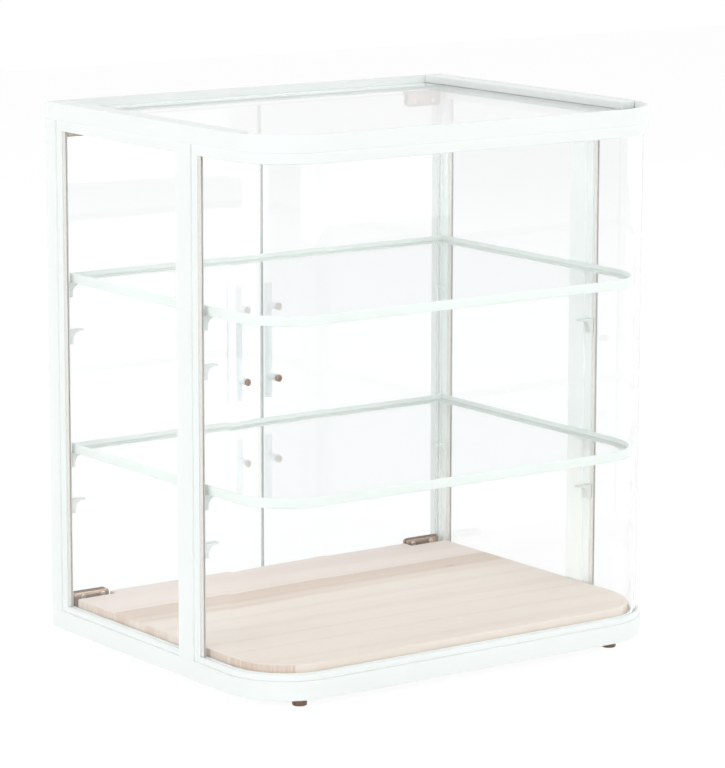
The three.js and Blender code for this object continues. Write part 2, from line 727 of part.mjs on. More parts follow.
function topClip() {
  const clip = pivotClip();
  clip.translate(0, -DOOR_Y, 0);
  const flipped = mirroredInX(clip);
  flipped.rotateY(Math.PI);
  return flipped.translate(0, DOOR_Y, CLIP_TOP);
}

// A round bar on two standoffs.
function handle() {
  const face = DOOR_Y + DOOR_PANE / 2;
  const barY = face + HANDLE_REACH;
  const bottom = HANDLE_Z - HANDLE_LENGTH / 2;
  const bar = uprightCylinder(-HANDLE_X, barY, bottom, bottom + HANDLE_LENGTH, HANDLE_RADIUS);
  const standoffs = handleScrewLevels().map((z) => cylinderAlongY(-HANDLE_X, z, face, barY, STANDOFF_RADIUS));
  const bores = handleScrewLevels().map((z) =>
    cylinderAlongY(-HANDLE_X, z, face - 1, face + HANDLE_REACH / 2 + FIT, HANDLE_SCREW_RADIUS + FIT));
  return cut(joined([bar, ...standoffs]), bores);
}

// A handle screw: head with a hexagonal socket inside the cabinet, shank through the pane.
function handleScrew(z) {
  const face = DOOR_Y - DOOR_PANE / 2;
  const headFront = face - SCREW_HEAD_HEIGHT;
  const shankEnd = DOOR_Y + DOOR_PANE / 2 + HANDLE_REACH / 2;
  const head = cylinderAlongY(-HANDLE_X, z, headFront, face, SCREW_HEAD_RADIUS);
  const shank = cylinderAlongY(-HANDLE_X, z, face - 1, shankEnd, HANDLE_SCREW_RADIUS);
  const across = SCREW_SOCKET_RADIUS;
  const socket = new THREE.CylinderGeometry(across, across, SCREW_SOCKET_DEPTH * 2, 6);
  socket.translate(-HANDLE_X, headFront, z);
  return cut(joined([head, shank]), [socket]);
}

// ---- Assembly ----
const cabinet = new THREE.Group();
const SIDES = [['left', -1], ['right', 1]];
const onSide = (side, geometry) => (side < 0 ? geometry : mirroredInX(geometry));

function add(name, geometry, material) {
  const mesh = new THREE.Mesh(geometry, material);
  mesh.name = name;
  cabinet.add(mesh);
}

function addFrame() {
  add('base_frame', baseFrame(), powderCoat());
  add('top_rim', topRim(), powderCoat());
  add('base_channel_front', frontChannel(baseChannelSection()), powderCoat());
  add('top_channel_front', frontChannel(topChannelSection()), powderCoat());
  for (const [name, side] of SIDES) {
    add(`base_channel_${name}`, sideChannel(side, baseChannelSection()), powderCoat());
    add(`top_channel_${name}`, sideChannel(side, topChannelSection()), powderCoat());
    add(`post_front_${name}`, frontPost(side), powderCoat());
    add(`post_rear_${name}`, rearPost(side), powderCoat());
    add(`gasket_front_${name}`, gasket(side, FRONT_POST_FRONT_Y), seal());
    add(`gasket_rear_${name}`, gasket(side, REAR_POST_FRONT_Y), seal());
    add(`top_trim_${name}`, trimBar(side), powderCoat());
  }
  for (const [place, x, y] of footPlaces()) {
    add(`foot_${place}`, foot().translate(x, y, 0), footPlastic());
  }
}

function addPanes() {
  add('glass_front', frontPane(), glass());
  add('glass_top', topPane(), glass());
  for (const [name, side] of SIDES) {
    add(`glass_side_${name}`, sidePane(side), glass());
  }
}

function addInside() {
  add('bottom_board', bottomBoard(), paleWood());
  for (const [place, level] of [['lower', LOWER_SHELF_LEVEL], ['upper', UPPER_SHELF_LEVEL]]) {
    add(`shelf_frame_${place}`, shelfFrame(level), powderCoat());
    add(`shelf_glass_${place}`, shelfPane(level), glass());
  }
  for (const [name, side] of SIDES) {
    bracketLevels().forEach((level, index) => {
      const label = `${name}_${index + 1}`;
      add(`bracket_front_${label}`, bracket(side, FRONT_POST_FRONT_Y, level), powderCoat());
      add(`bracket_rear_${label}`, bracket(side, REAR_POST_FRONT_Y, level), powderCoat());
    });
  }
}

function addDoors() {
  for (const [name, side] of SIDES) {
    add(`door_glass_${name}`, onSide(side, doorPane()), glass());
    add(`door_clip_bottom_${name}`, onSide(side, bottomClip()), nickel());
    add(`door_clip_top_${name}`, onSide(side, topClip()), nickel());
    add(`door_handle_${name}`, onSide(side, handle()), handleCoat());
    handleScrewLevels().forEach((z, index) => {
      add(`handle_screw_${name}_${index + 1}`, onSide(side, handleScrew(z)), darkSteel());
    });
  }
}

addFrame();
addPanes();
addInside();
addDoors();

// The handles stand out behind the frame, so the origin moves back to the middle of the whole box.
cabinet.position.y = (REAR - HANDLE_BACK) / 2;

export default cabinet;
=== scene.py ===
"""Counter-top glass display cabinet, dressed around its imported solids.

The frame, panes, shelves and doors are modelled with Blender's own mesh operators at the places
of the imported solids, and finished with procedural materials.
"""
import math

import bmesh
import bpy
from bpy.props import FloatProperty, FloatVectorProperty, IntProperty, PointerProperty
from mathutils import Matrix, Vector


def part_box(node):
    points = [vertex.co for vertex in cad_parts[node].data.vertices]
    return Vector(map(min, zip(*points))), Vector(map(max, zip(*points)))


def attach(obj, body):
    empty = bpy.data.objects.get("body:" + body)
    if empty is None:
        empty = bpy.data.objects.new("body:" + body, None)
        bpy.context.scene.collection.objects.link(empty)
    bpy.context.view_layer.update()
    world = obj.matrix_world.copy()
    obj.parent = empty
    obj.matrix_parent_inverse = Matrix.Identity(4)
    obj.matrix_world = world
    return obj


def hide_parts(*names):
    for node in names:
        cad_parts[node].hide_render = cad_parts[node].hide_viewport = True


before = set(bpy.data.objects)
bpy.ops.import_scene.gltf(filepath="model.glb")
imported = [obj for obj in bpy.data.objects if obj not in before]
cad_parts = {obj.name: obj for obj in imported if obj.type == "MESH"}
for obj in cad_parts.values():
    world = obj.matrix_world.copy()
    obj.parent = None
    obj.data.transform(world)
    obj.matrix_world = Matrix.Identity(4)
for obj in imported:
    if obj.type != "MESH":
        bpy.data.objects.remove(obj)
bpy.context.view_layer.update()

bl_info = {
    "name": "Glass display cabinet",
    "version": (1, 0, 0),
    "blender": (4, 5, 0),
    "location": "3D View > Sidebar > Cabinet",
    "description": "Models a counter-top glass display cabinet around its packed solids",
    "category": "Add Mesh",
}

MM = 0.001
LEFT, RIGHT = -1, 1
SIDES = (("left", LEFT), ("right", RIGHT))
QUARTER = math.pi / 2
MIRROR_X = Matrix.Diagonal((-1, 1, 1, 1))
WHITE = (1, 1, 1, 1)


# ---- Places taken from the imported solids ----
def low(node):
    return Vector(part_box(node)[0])


def high(node):
    return Vector(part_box(node)[1])


def centre_of(node):
    return (low(node) + high(node)) / 2


HALF_WIDTH = high("base_frame").x
FRONT_Y = low("base_frame").y
REAR_Y = high("base_frame").y
BASE_TOP = high("base_frame").z
RIM_BOTTOM = low("top_rim").z
DOOR_Y = centre_of("door_glass_left").y
PIVOT_FROM_CLIP_END = 7 * MM
PIVOT_X = -low("door_clip_bottom_left").x - PIVOT_FROM_CLIP_END
HANDLE_X = centre_of("door_handle_left").x
SCREW_LEVELS = [centre_of(f"handle_screw_left_{index}").z for index in (1, 2)]


# ---- Sizes and colours that a user would change ----
def linear(hex_colour):
    """Linear values of a colour written as sRGB hex."""
    parts = [int(hex_colour[place:place + 2], 16) / 255 for place in (0, 2, 4)]
    return tuple(part / 12.92 if part <= 0.04045 else ((part + 0.055) / 1.055) ** 2.4 for part in parts)


def rgba(colour, factor=1.0):
    """A linear colour with its alpha, made darker or lighter by the factor."""
    return (*[min(1.0, part * factor) for part in colour], 1.0)


def length(name, description, default):
    return FloatProperty(name=name, description=description, default=default, min=0.0,
                         subtype="DISTANCE", unit="LENGTH")


def tint(name, description, hex_colour):
    return FloatVectorProperty(name=name, description=description, default=linear(hex_colour),
                               size=3, min=0.0, max=1.0, subtype="COLOR")


class CabinetSizes(bpy.types.PropertyGroup):
    corner_radius: length("Corner radius", "Outer radius of the two front corners", 92 * MM)
    corner_steps: IntProperty(name="Corner steps", description="Faces round each front corner",
                              default=24, min=6, max=64)
    rear_corner: length("Rear corner", "Outer radius of the folded rear corners", 3 * MM)
    sheet: length("Sheet", "Thickness of the folded steel sheet", 2 * MM)
    edge_round: length("Edge round", "Round left on coated metal edges", 0.6 * MM)
    arris: length("Arris", "Ground edge of the glass panes", 0.6 * MM)
    nose_radius: length("Post nose", "Round on each side of a post's front edge", 4 * MM)
    foot_taper: length("Foot taper", "How much a foot narrows towards its tread", 0.7 * MM)
    clip_round: length("Clip round", "Round on the inner end of a pivot clip", 4 * MM)
    board_ease: length("Board ease", "Eased edge of the wooden board", 1.5 * MM)


class CabinetColours(bpy.types.PropertyGroup):
    coat: tint("Powder coat", "Base frame, rim, posts, channels and trim bars", "F9FEFC")
    # Darker than the outer coat: the darkening is painted shade, standing in for the dimmer light that reaches
    # the shelf parts behind the glass.
    shelf: tint("Shelf coat", "Matt powder coat on the shelf frames and brackets", "E1E8E4")
    pull: tint("Door pull coat", "Glossier coat on the two door pulls", "F8FEFE")
    glass: tint("Glass", "Clear float glass", "FBFCFC")
    glass_edge: tint("Glass edge", "Ground and polished edges of the panes", "EAF0ED")
    seal: tint("Seal", "Rubber strip between post and pane", "EFEDE8")
    # The liner's dark brown is painted shade along the jaws' edge where the door pane leaves each clip.
    liner_painted_shade: tint("Clip liner", "Rubber between a clip's jaws and the door pane", "8A7263")
    # Nickel plate whose brown tint is a painted reflection of the wood near the clips.
    nickel: tint("Nickel", "Pivot clips", "B09B87")
    screw: tint("Clamp screw", "Plated pan-head screws in the clips", "E4DAD0")
    dark_screw: tint("Socket screw", "Browned steel socket screws", "967F6C")
    foot: tint("Foot", "Moulded feet", "8A6E5B")
    maple: tint("Maple", "Front staves of the bottom board", "E0D5CB")
    maple_rear: tint("Rear stave", "Pinkish stave at the back of the board", "E1D5CD")
    heartwood: tint("Heartwood", "Darker band in front of the stave joint", "C9B2A1")


def sizes():
    return bpy.context.scene.cabinet_sizes


# ---- Modelling steps ----
def begin(name, kind, **settings):
    """Adds a primitive with its place kept in its mesh, alone selected, and opens it for editing."""
    bpy.ops.object.select_all(action="DESELECT")
    getattr(bpy.ops.mesh, f"primitive_{kind}_add")(**settings)
    piece = bpy.context.object
    piece.name = piece.data.name = name
    bpy.ops.object.transform_apply(location=True, rotation=True, scale=True)
    bpy.ops.object.mode_set(mode="EDIT")
    return piece


def block(name, corner_a, corner_b):
    """A box between two corners, open for editing."""
    a, b = Vector(corner_a), Vector(corner_b)
    return begin(name, "cube", size=1, location=(a + b) / 2, scale=[abs(value) for value in b - a])


def rod(name, centre, radius, depth, axis, sides=40):
    """A cylinder along an axis, open for editing."""
    turn = {"X": (0, QUARTER, 0), "Y": (QUARTER, 0, 0), "Z": (0, 0, 0)}[axis]
    return begin(name, "cylinder", vertices=sides, radius=radius, depth=depth, location=centre,
                 rotation=turn, end_fill_type="NGON")


def pick(piece, kind, test):
    """Selects only the vertices, edges or faces that pass the test."""
    bpy.ops.mesh.select_mode(type=kind)
    bpy.ops.mesh.select_all(action="DESELECT")
    mesh = bmesh.from_edit_mesh(piece.data)
    items = {"VERT": mesh.verts, "EDGE": mesh.edges, "FACE": mesh.faces}[kind]
    chosen = [item for item in items if test(item)]
    if not chosen:
        raise RuntimeError(f"{piece.name}: nothing to select")
    for item in chosen:
        item.select_set(True)
    mesh.select_flush_mode()
    bmesh.update_edit_mesh(piece.data)


def near(a, b, within=1e-5):
    return abs(a - b) < within


def pull_out(step):
    bpy.ops.mesh.extrude_region_move(TRANSFORM_OT_translate={"value": step})


def round_edges(offset, steps):
    bpy.ops.mesh.bevel(offset=offset, offset_type="OFFSET", segments=steps, profile=0.5,
                       affect="EDGES", clamp_overlap=False)


def round_along(piece, axis, test, offset, steps):
    """Rounds the edges parallel to an axis (0, 1 or 2) whose middle passes the test."""
    def chosen(edge):
        start, end = (vert.co for vert in edge.verts)
        step = end - start
        others = [step[other] for other in range(3) if other != axis]
        parallel = abs(step[axis]) > 1e-6 and all(abs(part) < 1e-6 for part in others)
        return parallel and test((start + end) / 2)

    pick(piece, "EDGE", chosen)
    round_edges(offset, steps)


def round_between(piece, test, offset, steps):
    """Rounds the edges between two faces whose ends both pass the test."""
    pick(piece, "EDGE", lambda edge: len(edge.link_faces) == 2 and all(test(vert.co) for vert in edge.verts))
    round_edges(offset, steps)


def round_ends(piece, axis, ends, offset, steps):
    """Rounds both end edges of a cylinder that lies along an axis (0, 1 or 2)."""
    pick(piece, "EDGE", lambda edge: any(all(near(vert.co[axis], end) for vert in edge.verts) for end in ends))
    round_edges(offset, steps)


def close_up(piece):
    """Merges doubles, points faces outwards and leaves edit mode."""
    bpy.ops.mesh.select_all(action="SELECT")
    bpy.ops.mesh.remove_doubles(threshold=1e-6)
    bpy.ops.mesh.normals_make_consistent(inside=False)
    bpy.ops.object.mode_set(mode="OBJECT")


def apply_modifier(piece, kind, **settings):
    """Adds a modifier to a piece and applies it."""
    bpy.context.view_layer.objects.active = piece
    modifier = piece.modifiers.new(kind.title(), kind)
    for field, value in settings.items():
        setattr(modifier, field, value)
    bpy.ops.object.modifier_apply(modifier=modifier.name)


def ease(piece, width, steps=2, angle=38):
    """Rounds every edge sharper than the angle."""
    apply_modifier(piece, "BEVEL", width=width, segments=steps, limit_method="ANGLE",
                   angle_limit=math.radians(angle), use_clamp_overlap=True)


def combine(piece, other, operation):
    """Takes another closed form out of a piece (DIFFERENCE) or melts it into the piece (UNION)."""
    bpy.ops.object.mode_set(mode="OBJECT")
    apply_modifier(piece, "BOOLEAN", operation=operation, object=other, solver="EXACT")
    mesh = other.data
    bpy.data.objects.remove(other)
    bpy.data.meshes.remove(mesh)


def select_only(piece):
    bpy.ops.object.select_all(action="DESELECT")
    piece.select_set(True)
    bpy.context.view_layer.objects.active = piece


def copy_of(piece, name, matrix):
    """A copy with its own mesh, moved by a matrix that may mirror it."""
    twin = piece.copy()
    twin.data = piece.data.copy()
    twin.name = twin.data.name = name
    bpy.context.collection.objects.link(twin)
    twin.matrix_world = matrix
    select_only(twin)
    bpy.ops.object.transform_apply(location=True, rotation=True, scale=True)
    if matrix.determinant() < 0:
        bpy.ops.object.mode_set(mode="EDIT")
        bpy.ops.mesh.select_all(action="SELECT")
        bpy.ops.mesh.normals_make_consistent(inside=False)
        bpy.ops.object.mode_set(mode="OBJECT")
    return twin


# ---- Finishing: surface, slot, body and the solid that a piece stands for ----
MATERIALS = {}


def dress(piece, material, body, node):
    """Gives a finished piece its surface, its body and the solid that it stands for."""
    select_only(piece)
    bpy.ops.object.shade_smooth_by_angle(angle=math.radians(32))
    if not piece.data.materials:
        piece.data.materials.append(MATERIALS[material])
    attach(piece, body)
    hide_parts(node)


def glaze(piece, body, node, through):
    """Dresses a pane: clear faces where `through` says so, and ground edges elsewhere."""
    piece.data.materials.append(MATERIALS["glass"])
    piece.data.materials.append(MATERIALS["glass_edge"])
    for face in piece.data.polygons:
        face.material_index = 0 if through(face.normal) else 1
    dress(piece, "glass", body, node)


def facing(axis):
    """A test for normals along an axis (0, 1 or 2)."""
    return lambda normal: abs(normal[axis]) > 0.9


# ---- Sections: a grid whose columns and rows are moved to the section's sizes ----
def section(name, columns, rows, cells, across, along, origin):
    """A flat section, placed by the directions of its columns and rows, and left all selected."""
    count_x, count_y = len(columns) - 1, len(rows) - 1
    piece = begin(name, "grid", x_subdivisions=count_x, y_subdivisions=count_y, size=1)
    far = 100
    for axis, places in ((0, columns), (1, rows)):
        count = len(places) - 1
        step = [0.0, 0.0, 0.0]
        # Each line goes to its place far away first, so that it can't be taken for one not yet moved.
        for index in range(count, -1, -1):
            now = index / count - 0.5
            step[axis] = far + places[index] - now
            pick(piece, "VERT", lambda vert: near(vert.co[axis], now))
            bpy.ops.transform.translate(value=step)
        bpy.ops.mesh.select_all(action="SELECT")
        step[axis] = -far
        bpy.ops.transform.translate(value=step)

    def spare(face):
        centre = face.calc_center_median()
        column = sum(centre.x > edge for edge in columns[1:-1])
        row = sum(centre.y > edge for edge in rows[1:-1])
        return (column, row) not in cells

    if len(cells) < count_x * count_y:
        pick(piece, "FACE", spare)
        bpy.ops.mesh.delete(type="FACE")
    bpy.ops.object.mode_set(mode="OBJECT")
    across, along = Vector(across), Vector(along)
    turned = Matrix((across, along, across.cross(along))).transposed().to_4x4()
    piece.matrix_world = Matrix.Translation(origin) @ turned
    bpy.ops.object.transform_apply(location=True, rotation=True, scale=True)
    bpy.ops.object.mode_set(mode="EDIT")
    bpy.ops.mesh.select_mode(type="FACE")
    bpy.ops.mesh.select_all(action="SELECT")
    return piece


def sweep_round_front(name, columns, rows, cells, back_y, inset=0.0):
    """Carries a section from the back of the left side round both front corners to the right side.

    Columns run inwards from the outer face and rows run upwards.
    """
    radius, steps = sizes().corner_radius, sizes().corner_steps
    piece = section(name, columns, rows, cells, (1, 0, 0), (0, 0, 1), (-HALF_WIDTH + inset, back_y, 0))
    corner_x, corner_y = HALF_WIDTH - radius, FRONT_Y + radius
    pull_out((0, corner_y - back_y, 0))
    bpy.ops.mesh.spin(steps=steps, angle=-QUARTER, center=(-corner_x, corner_y, 0), axis=(0, 0, 1))
    pull_out((2 * corner_x, 0, 0))
    bpy.ops.mesh.spin(steps=steps, angle=-QUARTER, center=(corner_x, corner_y, 0), axis=(0, 0, 1))
    pull_out((0, back_y - corner_y, 0))
    return piece


def ring(name, columns, rows, cells, rear_y, inset=0.0):
    """A closed ring: round front corners, and rear corners mitred as folded sheet is."""
    piece = sweep_round_front(name, columns, rows, cells, rear_y, inset)
    outer = HALF_WIDTH - inset
    pick(piece, "FACE", lambda face: face.calc_center_median().x < 0
         and all(near(vert.co.y, rear_y) for vert in face.verts))
    bpy.ops.mesh.delete(type="ONLY_FACE")
    # Both ends are cut to the mitre.
    for column in columns:
        pick(piece, "VERT", lambda vert: near(vert.co.y, rear_y) and near(abs(vert.co.x), outer - column))
        bpy.ops.transform.translate(value=(0, -column, 0))
    # The right end's face is carried across the back and meets the left end.
    pick(piece, "FACE", lambda face: face.calc_center_median().x > 0 and all(
        near(vert.co.y, rear_y - (outer - vert.co.x)) for vert in face.verts))
    pull_out((0, 0, 0))
    bpy.ops.mesh.select_mode(type="VERT")
    mesh = bmesh.from_edit_mesh(piece.data)
    moving = {vert.index for vert in mesh.verts if vert.select}
    for column in columns:
        pick(piece, "VERT", lambda vert: vert.index in moving and near(vert.co.x, outer - column))
        bpy.ops.transform.translate(value=(-2 * (outer - column), 0, 0))
    pick(piece, "FACE", lambda face: all(vert.index in moving for vert in face.verts))
    bpy.ops.mesh.delete(type="ONLY_FACE")
    bpy.ops.mesh.select_all(action="SELECT")
    bpy.ops.mesh.remove_doubles(threshold=1e-6)
    bpy.ops.mesh.normals_make_consistent(inside=False)
    return piece


def upright(name, side, columns, rows, cells, back_y, bottom, top):
    """A straight upright bar from a section whose columns run inwards and rows run forwards."""
    origin = (side * HALF_WIDTH, back_y, bottom)
    piece = section(name, columns, rows, cells, (-side, 0, 0), (0, -1, 0), origin)
    pull_out((0, 0, top - bottom))
    return piece


def plate(name, node):
    """A plate of a solid's size, whose round front corners run parallel to the cabinet's."""
    front = low(node).y
    piece = block(name, low(node), high(node))
    radius = sizes().corner_radius - (front - FRONT_Y)
    round_along(piece, 2, lambda point: near(point.y, front), radius, sizes().corner_steps)
    return piece


# ---- Materials ----
def put(tree, kind, fields=None, values=None, wires=None, stops=()):
    """Adds one shader node: its settings, socket values, the wires into it and a ramp's two colours."""
    node = tree.nodes.new("ShaderNode" + kind)
    for field, value in (fields or {}).items():
        setattr(node, field, value)
    for socket, value in (values or {}).items():
        node.inputs[socket].default_value = value
    for socket, (source, output) in (wires or {}).items():
        tree.links.new(source.outputs[output], node.inputs[socket])
    for index, (place, colour) in enumerate(stops):
        node.color_ramp.elements[index].position = place
        node.color_ramp.elements[index].color = colour
    return node


def new_material(name):
    """An empty node material and its tree."""
    material = bpy.data.materials.new(name)
    material.use_nodes = True
    material.node_tree.nodes.clear()
    return material, material.node_tree


def powder_coat(name, colour, roughness):
    """Baked polyester powder on sheet steel: satin, with the fine orange peel it cures with.

    The peel's waves are about 1.6 mm across and show as a soft break-up of the highlights.
    """
    material, tree = new_material(name)
    here = {"Vector": (put(tree, "TexCoord"), "Object")}
    peel = put(tree, "TexNoise", values={"Scale": 1 / (1.6 * MM), "Detail": 1.5}, wires=here)
    cloud = put(tree, "TexNoise", values={"Scale": 9.0, "Detail": 2.0}, wires=here)
    tone = put(tree, "ValToRGB", wires={"Fac": (cloud, "Fac")},
               stops=((0.3, rgba(colour, 0.985)), (0.7, rgba(colour))))
    gloss = put(tree, "MapRange", values={"To Min": roughness - 0.04, "To Max": roughness + 0.05},
                wires={"Value": (cloud, "Fac")})
    bump = put(tree, "Bump", values={"Strength": 0.12, "Distance": 0.06 * MM}, wires={"Height": (peel, "Fac")})
    surface = put(tree, "BsdfPrincipled", values={"IOR": 1.5}, wires={
        "Base Color": (tone, "Color"), "Roughness": (gloss, "Result"), "Normal": (bump, "Normal")})
    put(tree, "OutputMaterial", wires={"Surface": (surface, 0)})
    return material


def float_glass(name, colour):
    """Clear float glass: drawn flat on tin, so dead smooth and nearly colourless, with a trace of haze.

    Lamps pass straight through it, as they nearly do through a thin pane.
    """
    material, tree = new_material(name)
    here = {"Vector": (put(tree, "TexCoord"), "Object")}
    smear = put(tree, "TexNoise", values={"Scale": 14.0, "Detail": 3.0}, wires=here)
    haze = put(tree, "MapRange", values={"From Min": 0.35, "From Max": 0.75, "To Min": 0.0, "To Max": 0.012},
               wires={"Value": (smear, "Fac")})
    pane = put(tree, "BsdfPrincipled", wires={"Roughness": (haze, "Result")},
               values={"Base Color": rgba(colour), "IOR": 1.45, "Transmission Weight": 1.0})
    clear = put(tree, "BsdfTransparent", values={"Color": WHITE})
    ray = put(tree, "LightPath")
    surface = put(tree, "MixShader", wires={0: (ray, "Is Shadow Ray"), 1: (pane, 0), 2: (clear, 0)})
    put(tree, "OutputMaterial", wires={"Surface": (surface, 0)})
    return material


def ground_edge(name, colour):
    """The ground and polished edge of a float pane: pale, slightly green and softly shining."""
    material, tree = new_material(name)
    here = {"Vector": (put(tree, "TexCoord"), "Object")}
    grind = put(tree, "TexNoise", values={"Scale": 1 / (1.2 * MM), "Detail": 2.0}, wires=here)
    tone = put(tree, "ValToRGB", wires={"Fac": (grind, "Fac")},
               stops=((0.3, rgba(colour, 0.96)), (0.7, rgba(colour))))
    surface = put(tree, "BsdfPrincipled", wires={"Base Color": (tone, "Color")},
                  values={"Roughness": 0.22, "IOR": 1.45, "Transmission Weight": 0.35})
    put(tree, "OutputMaterial", wires={"Surface": (surface, 0)})
    return material


def seal_rubber(name, colour):
    """Extruded sealing rubber: matt, with a dry bloom in patches about 6 mm across."""
    material, tree = new_material(name)
    here = {"Vector": (put(tree, "TexCoord"), "Object")}
    bloom = put(tree, "TexNoise", values={"Scale": 1 / (6 * MM), "Detail": 3.0}, wires=here)
    tone = put(tree, "ValToRGB", wires={"Fac": (bloom, "Fac")},
               stops=((0.35, rgba(colour, 0.94)), (0.7, rgba(colour, 1.02))))
    bump = put(tree, "Bump", values={"Strength": 0.15, "Distance": 0.1 * MM}, wires={"Height": (bloom, "Fac")})
    surface = put(tree, "BsdfPrincipled", values={"Roughness": 0.7}, wires={
        "Base Color": (tone, "Color"), "Normal": (bump, "Normal")})
    put(tree, "OutputMaterial", wires={"Surface": (surface, 0)})
    return material


def plated_metal(name, colour, roughness, grain_mm):
    """Plated metal, polished by a wheel: a clear reflection broken by fine lines along its length."""
    material, tree = new_material(name)
    here = {"Vector": (put(tree, "TexCoord"), "Object")}
    along = put(tree, "Mapping", values={"Scale": (0.08, 1.0, 1.0)}, wires=here)
    lines = put(tree, "TexNoise", values={"Scale": 1 / (grain_mm * MM), "Detail": 2.0},
                wires={"Vector": (along, "Vector")})
    tone = put(tree, "ValToRGB", wires={"Fac": (lines, "Fac")},
               stops=((0.3, rgba(colour, 0.9)), (0.7, rgba(colour, 1.04))))
    gloss = put(tree, "MapRange", values={"To Min": roughness - 0.06, "To Max": roughness + 0.08},
                wires={"Value": (lines, "Fac")})
    bump = put(tree, "Bump", values={"Strength": 0.08, "Distance": 0.03 * MM}, wires={"Height": (lines, "Fac")})
    surface = put(tree, "BsdfPrincipled", values={"Metallic": 1.0}, wires={
        "Base Color": (tone, "Color"), "Roughness": (gloss, "Result"), "Normal": (bump, "Normal")})
    put(tree, "OutputMaterial", wires={"Surface": (surface, 0)})
    return material


def moulded_plastic(name, colour):
    """Injection-moulded polypropylene: a fine spark-eroded grain of about 0.4 mm, dusty where it rubs."""
    material, tree = new_material(name)
    here = {"Vector": (put(tree, "TexCoord"), "Object")}
    grain = put(tree, "TexVoronoi", values={"Scale": 1 / (0.4 * MM)}, wires=here)
    dust = put(tree, "TexNoise", values={"Scale": 1 / (5 * MM), "Detail": 3.0}, wires=here)
    tone = put(tree, "ValToRGB", wires={"Fac": (dust, "Fac")},
               stops=((0.35, rgba(colour, 0.85)), (0.75, rgba(colour, 1.25))))
    bump = put(tree, "Bump", values={"Strength": 0.2, "Distance": 0.05 * MM},
               wires={"Height": (grain, "Distance")})
    surface = put(tree, "BsdfPrincipled", values={"Roughness": 0.55}, wires={
        "Base Color": (tone, "Color"), "Normal": (bump, "Normal")})
    put(tree, "OutputMaterial", wires={"Surface": (surface, 0)})
    return material


STAVE_JOINT_Y = 117 * MM
KNOT_PLACE = (215 * MM, 78 * MM, 0.0)
KNOT_COLOUR, GLUE_LINE_COLOUR = "A98E78", "8E7866"


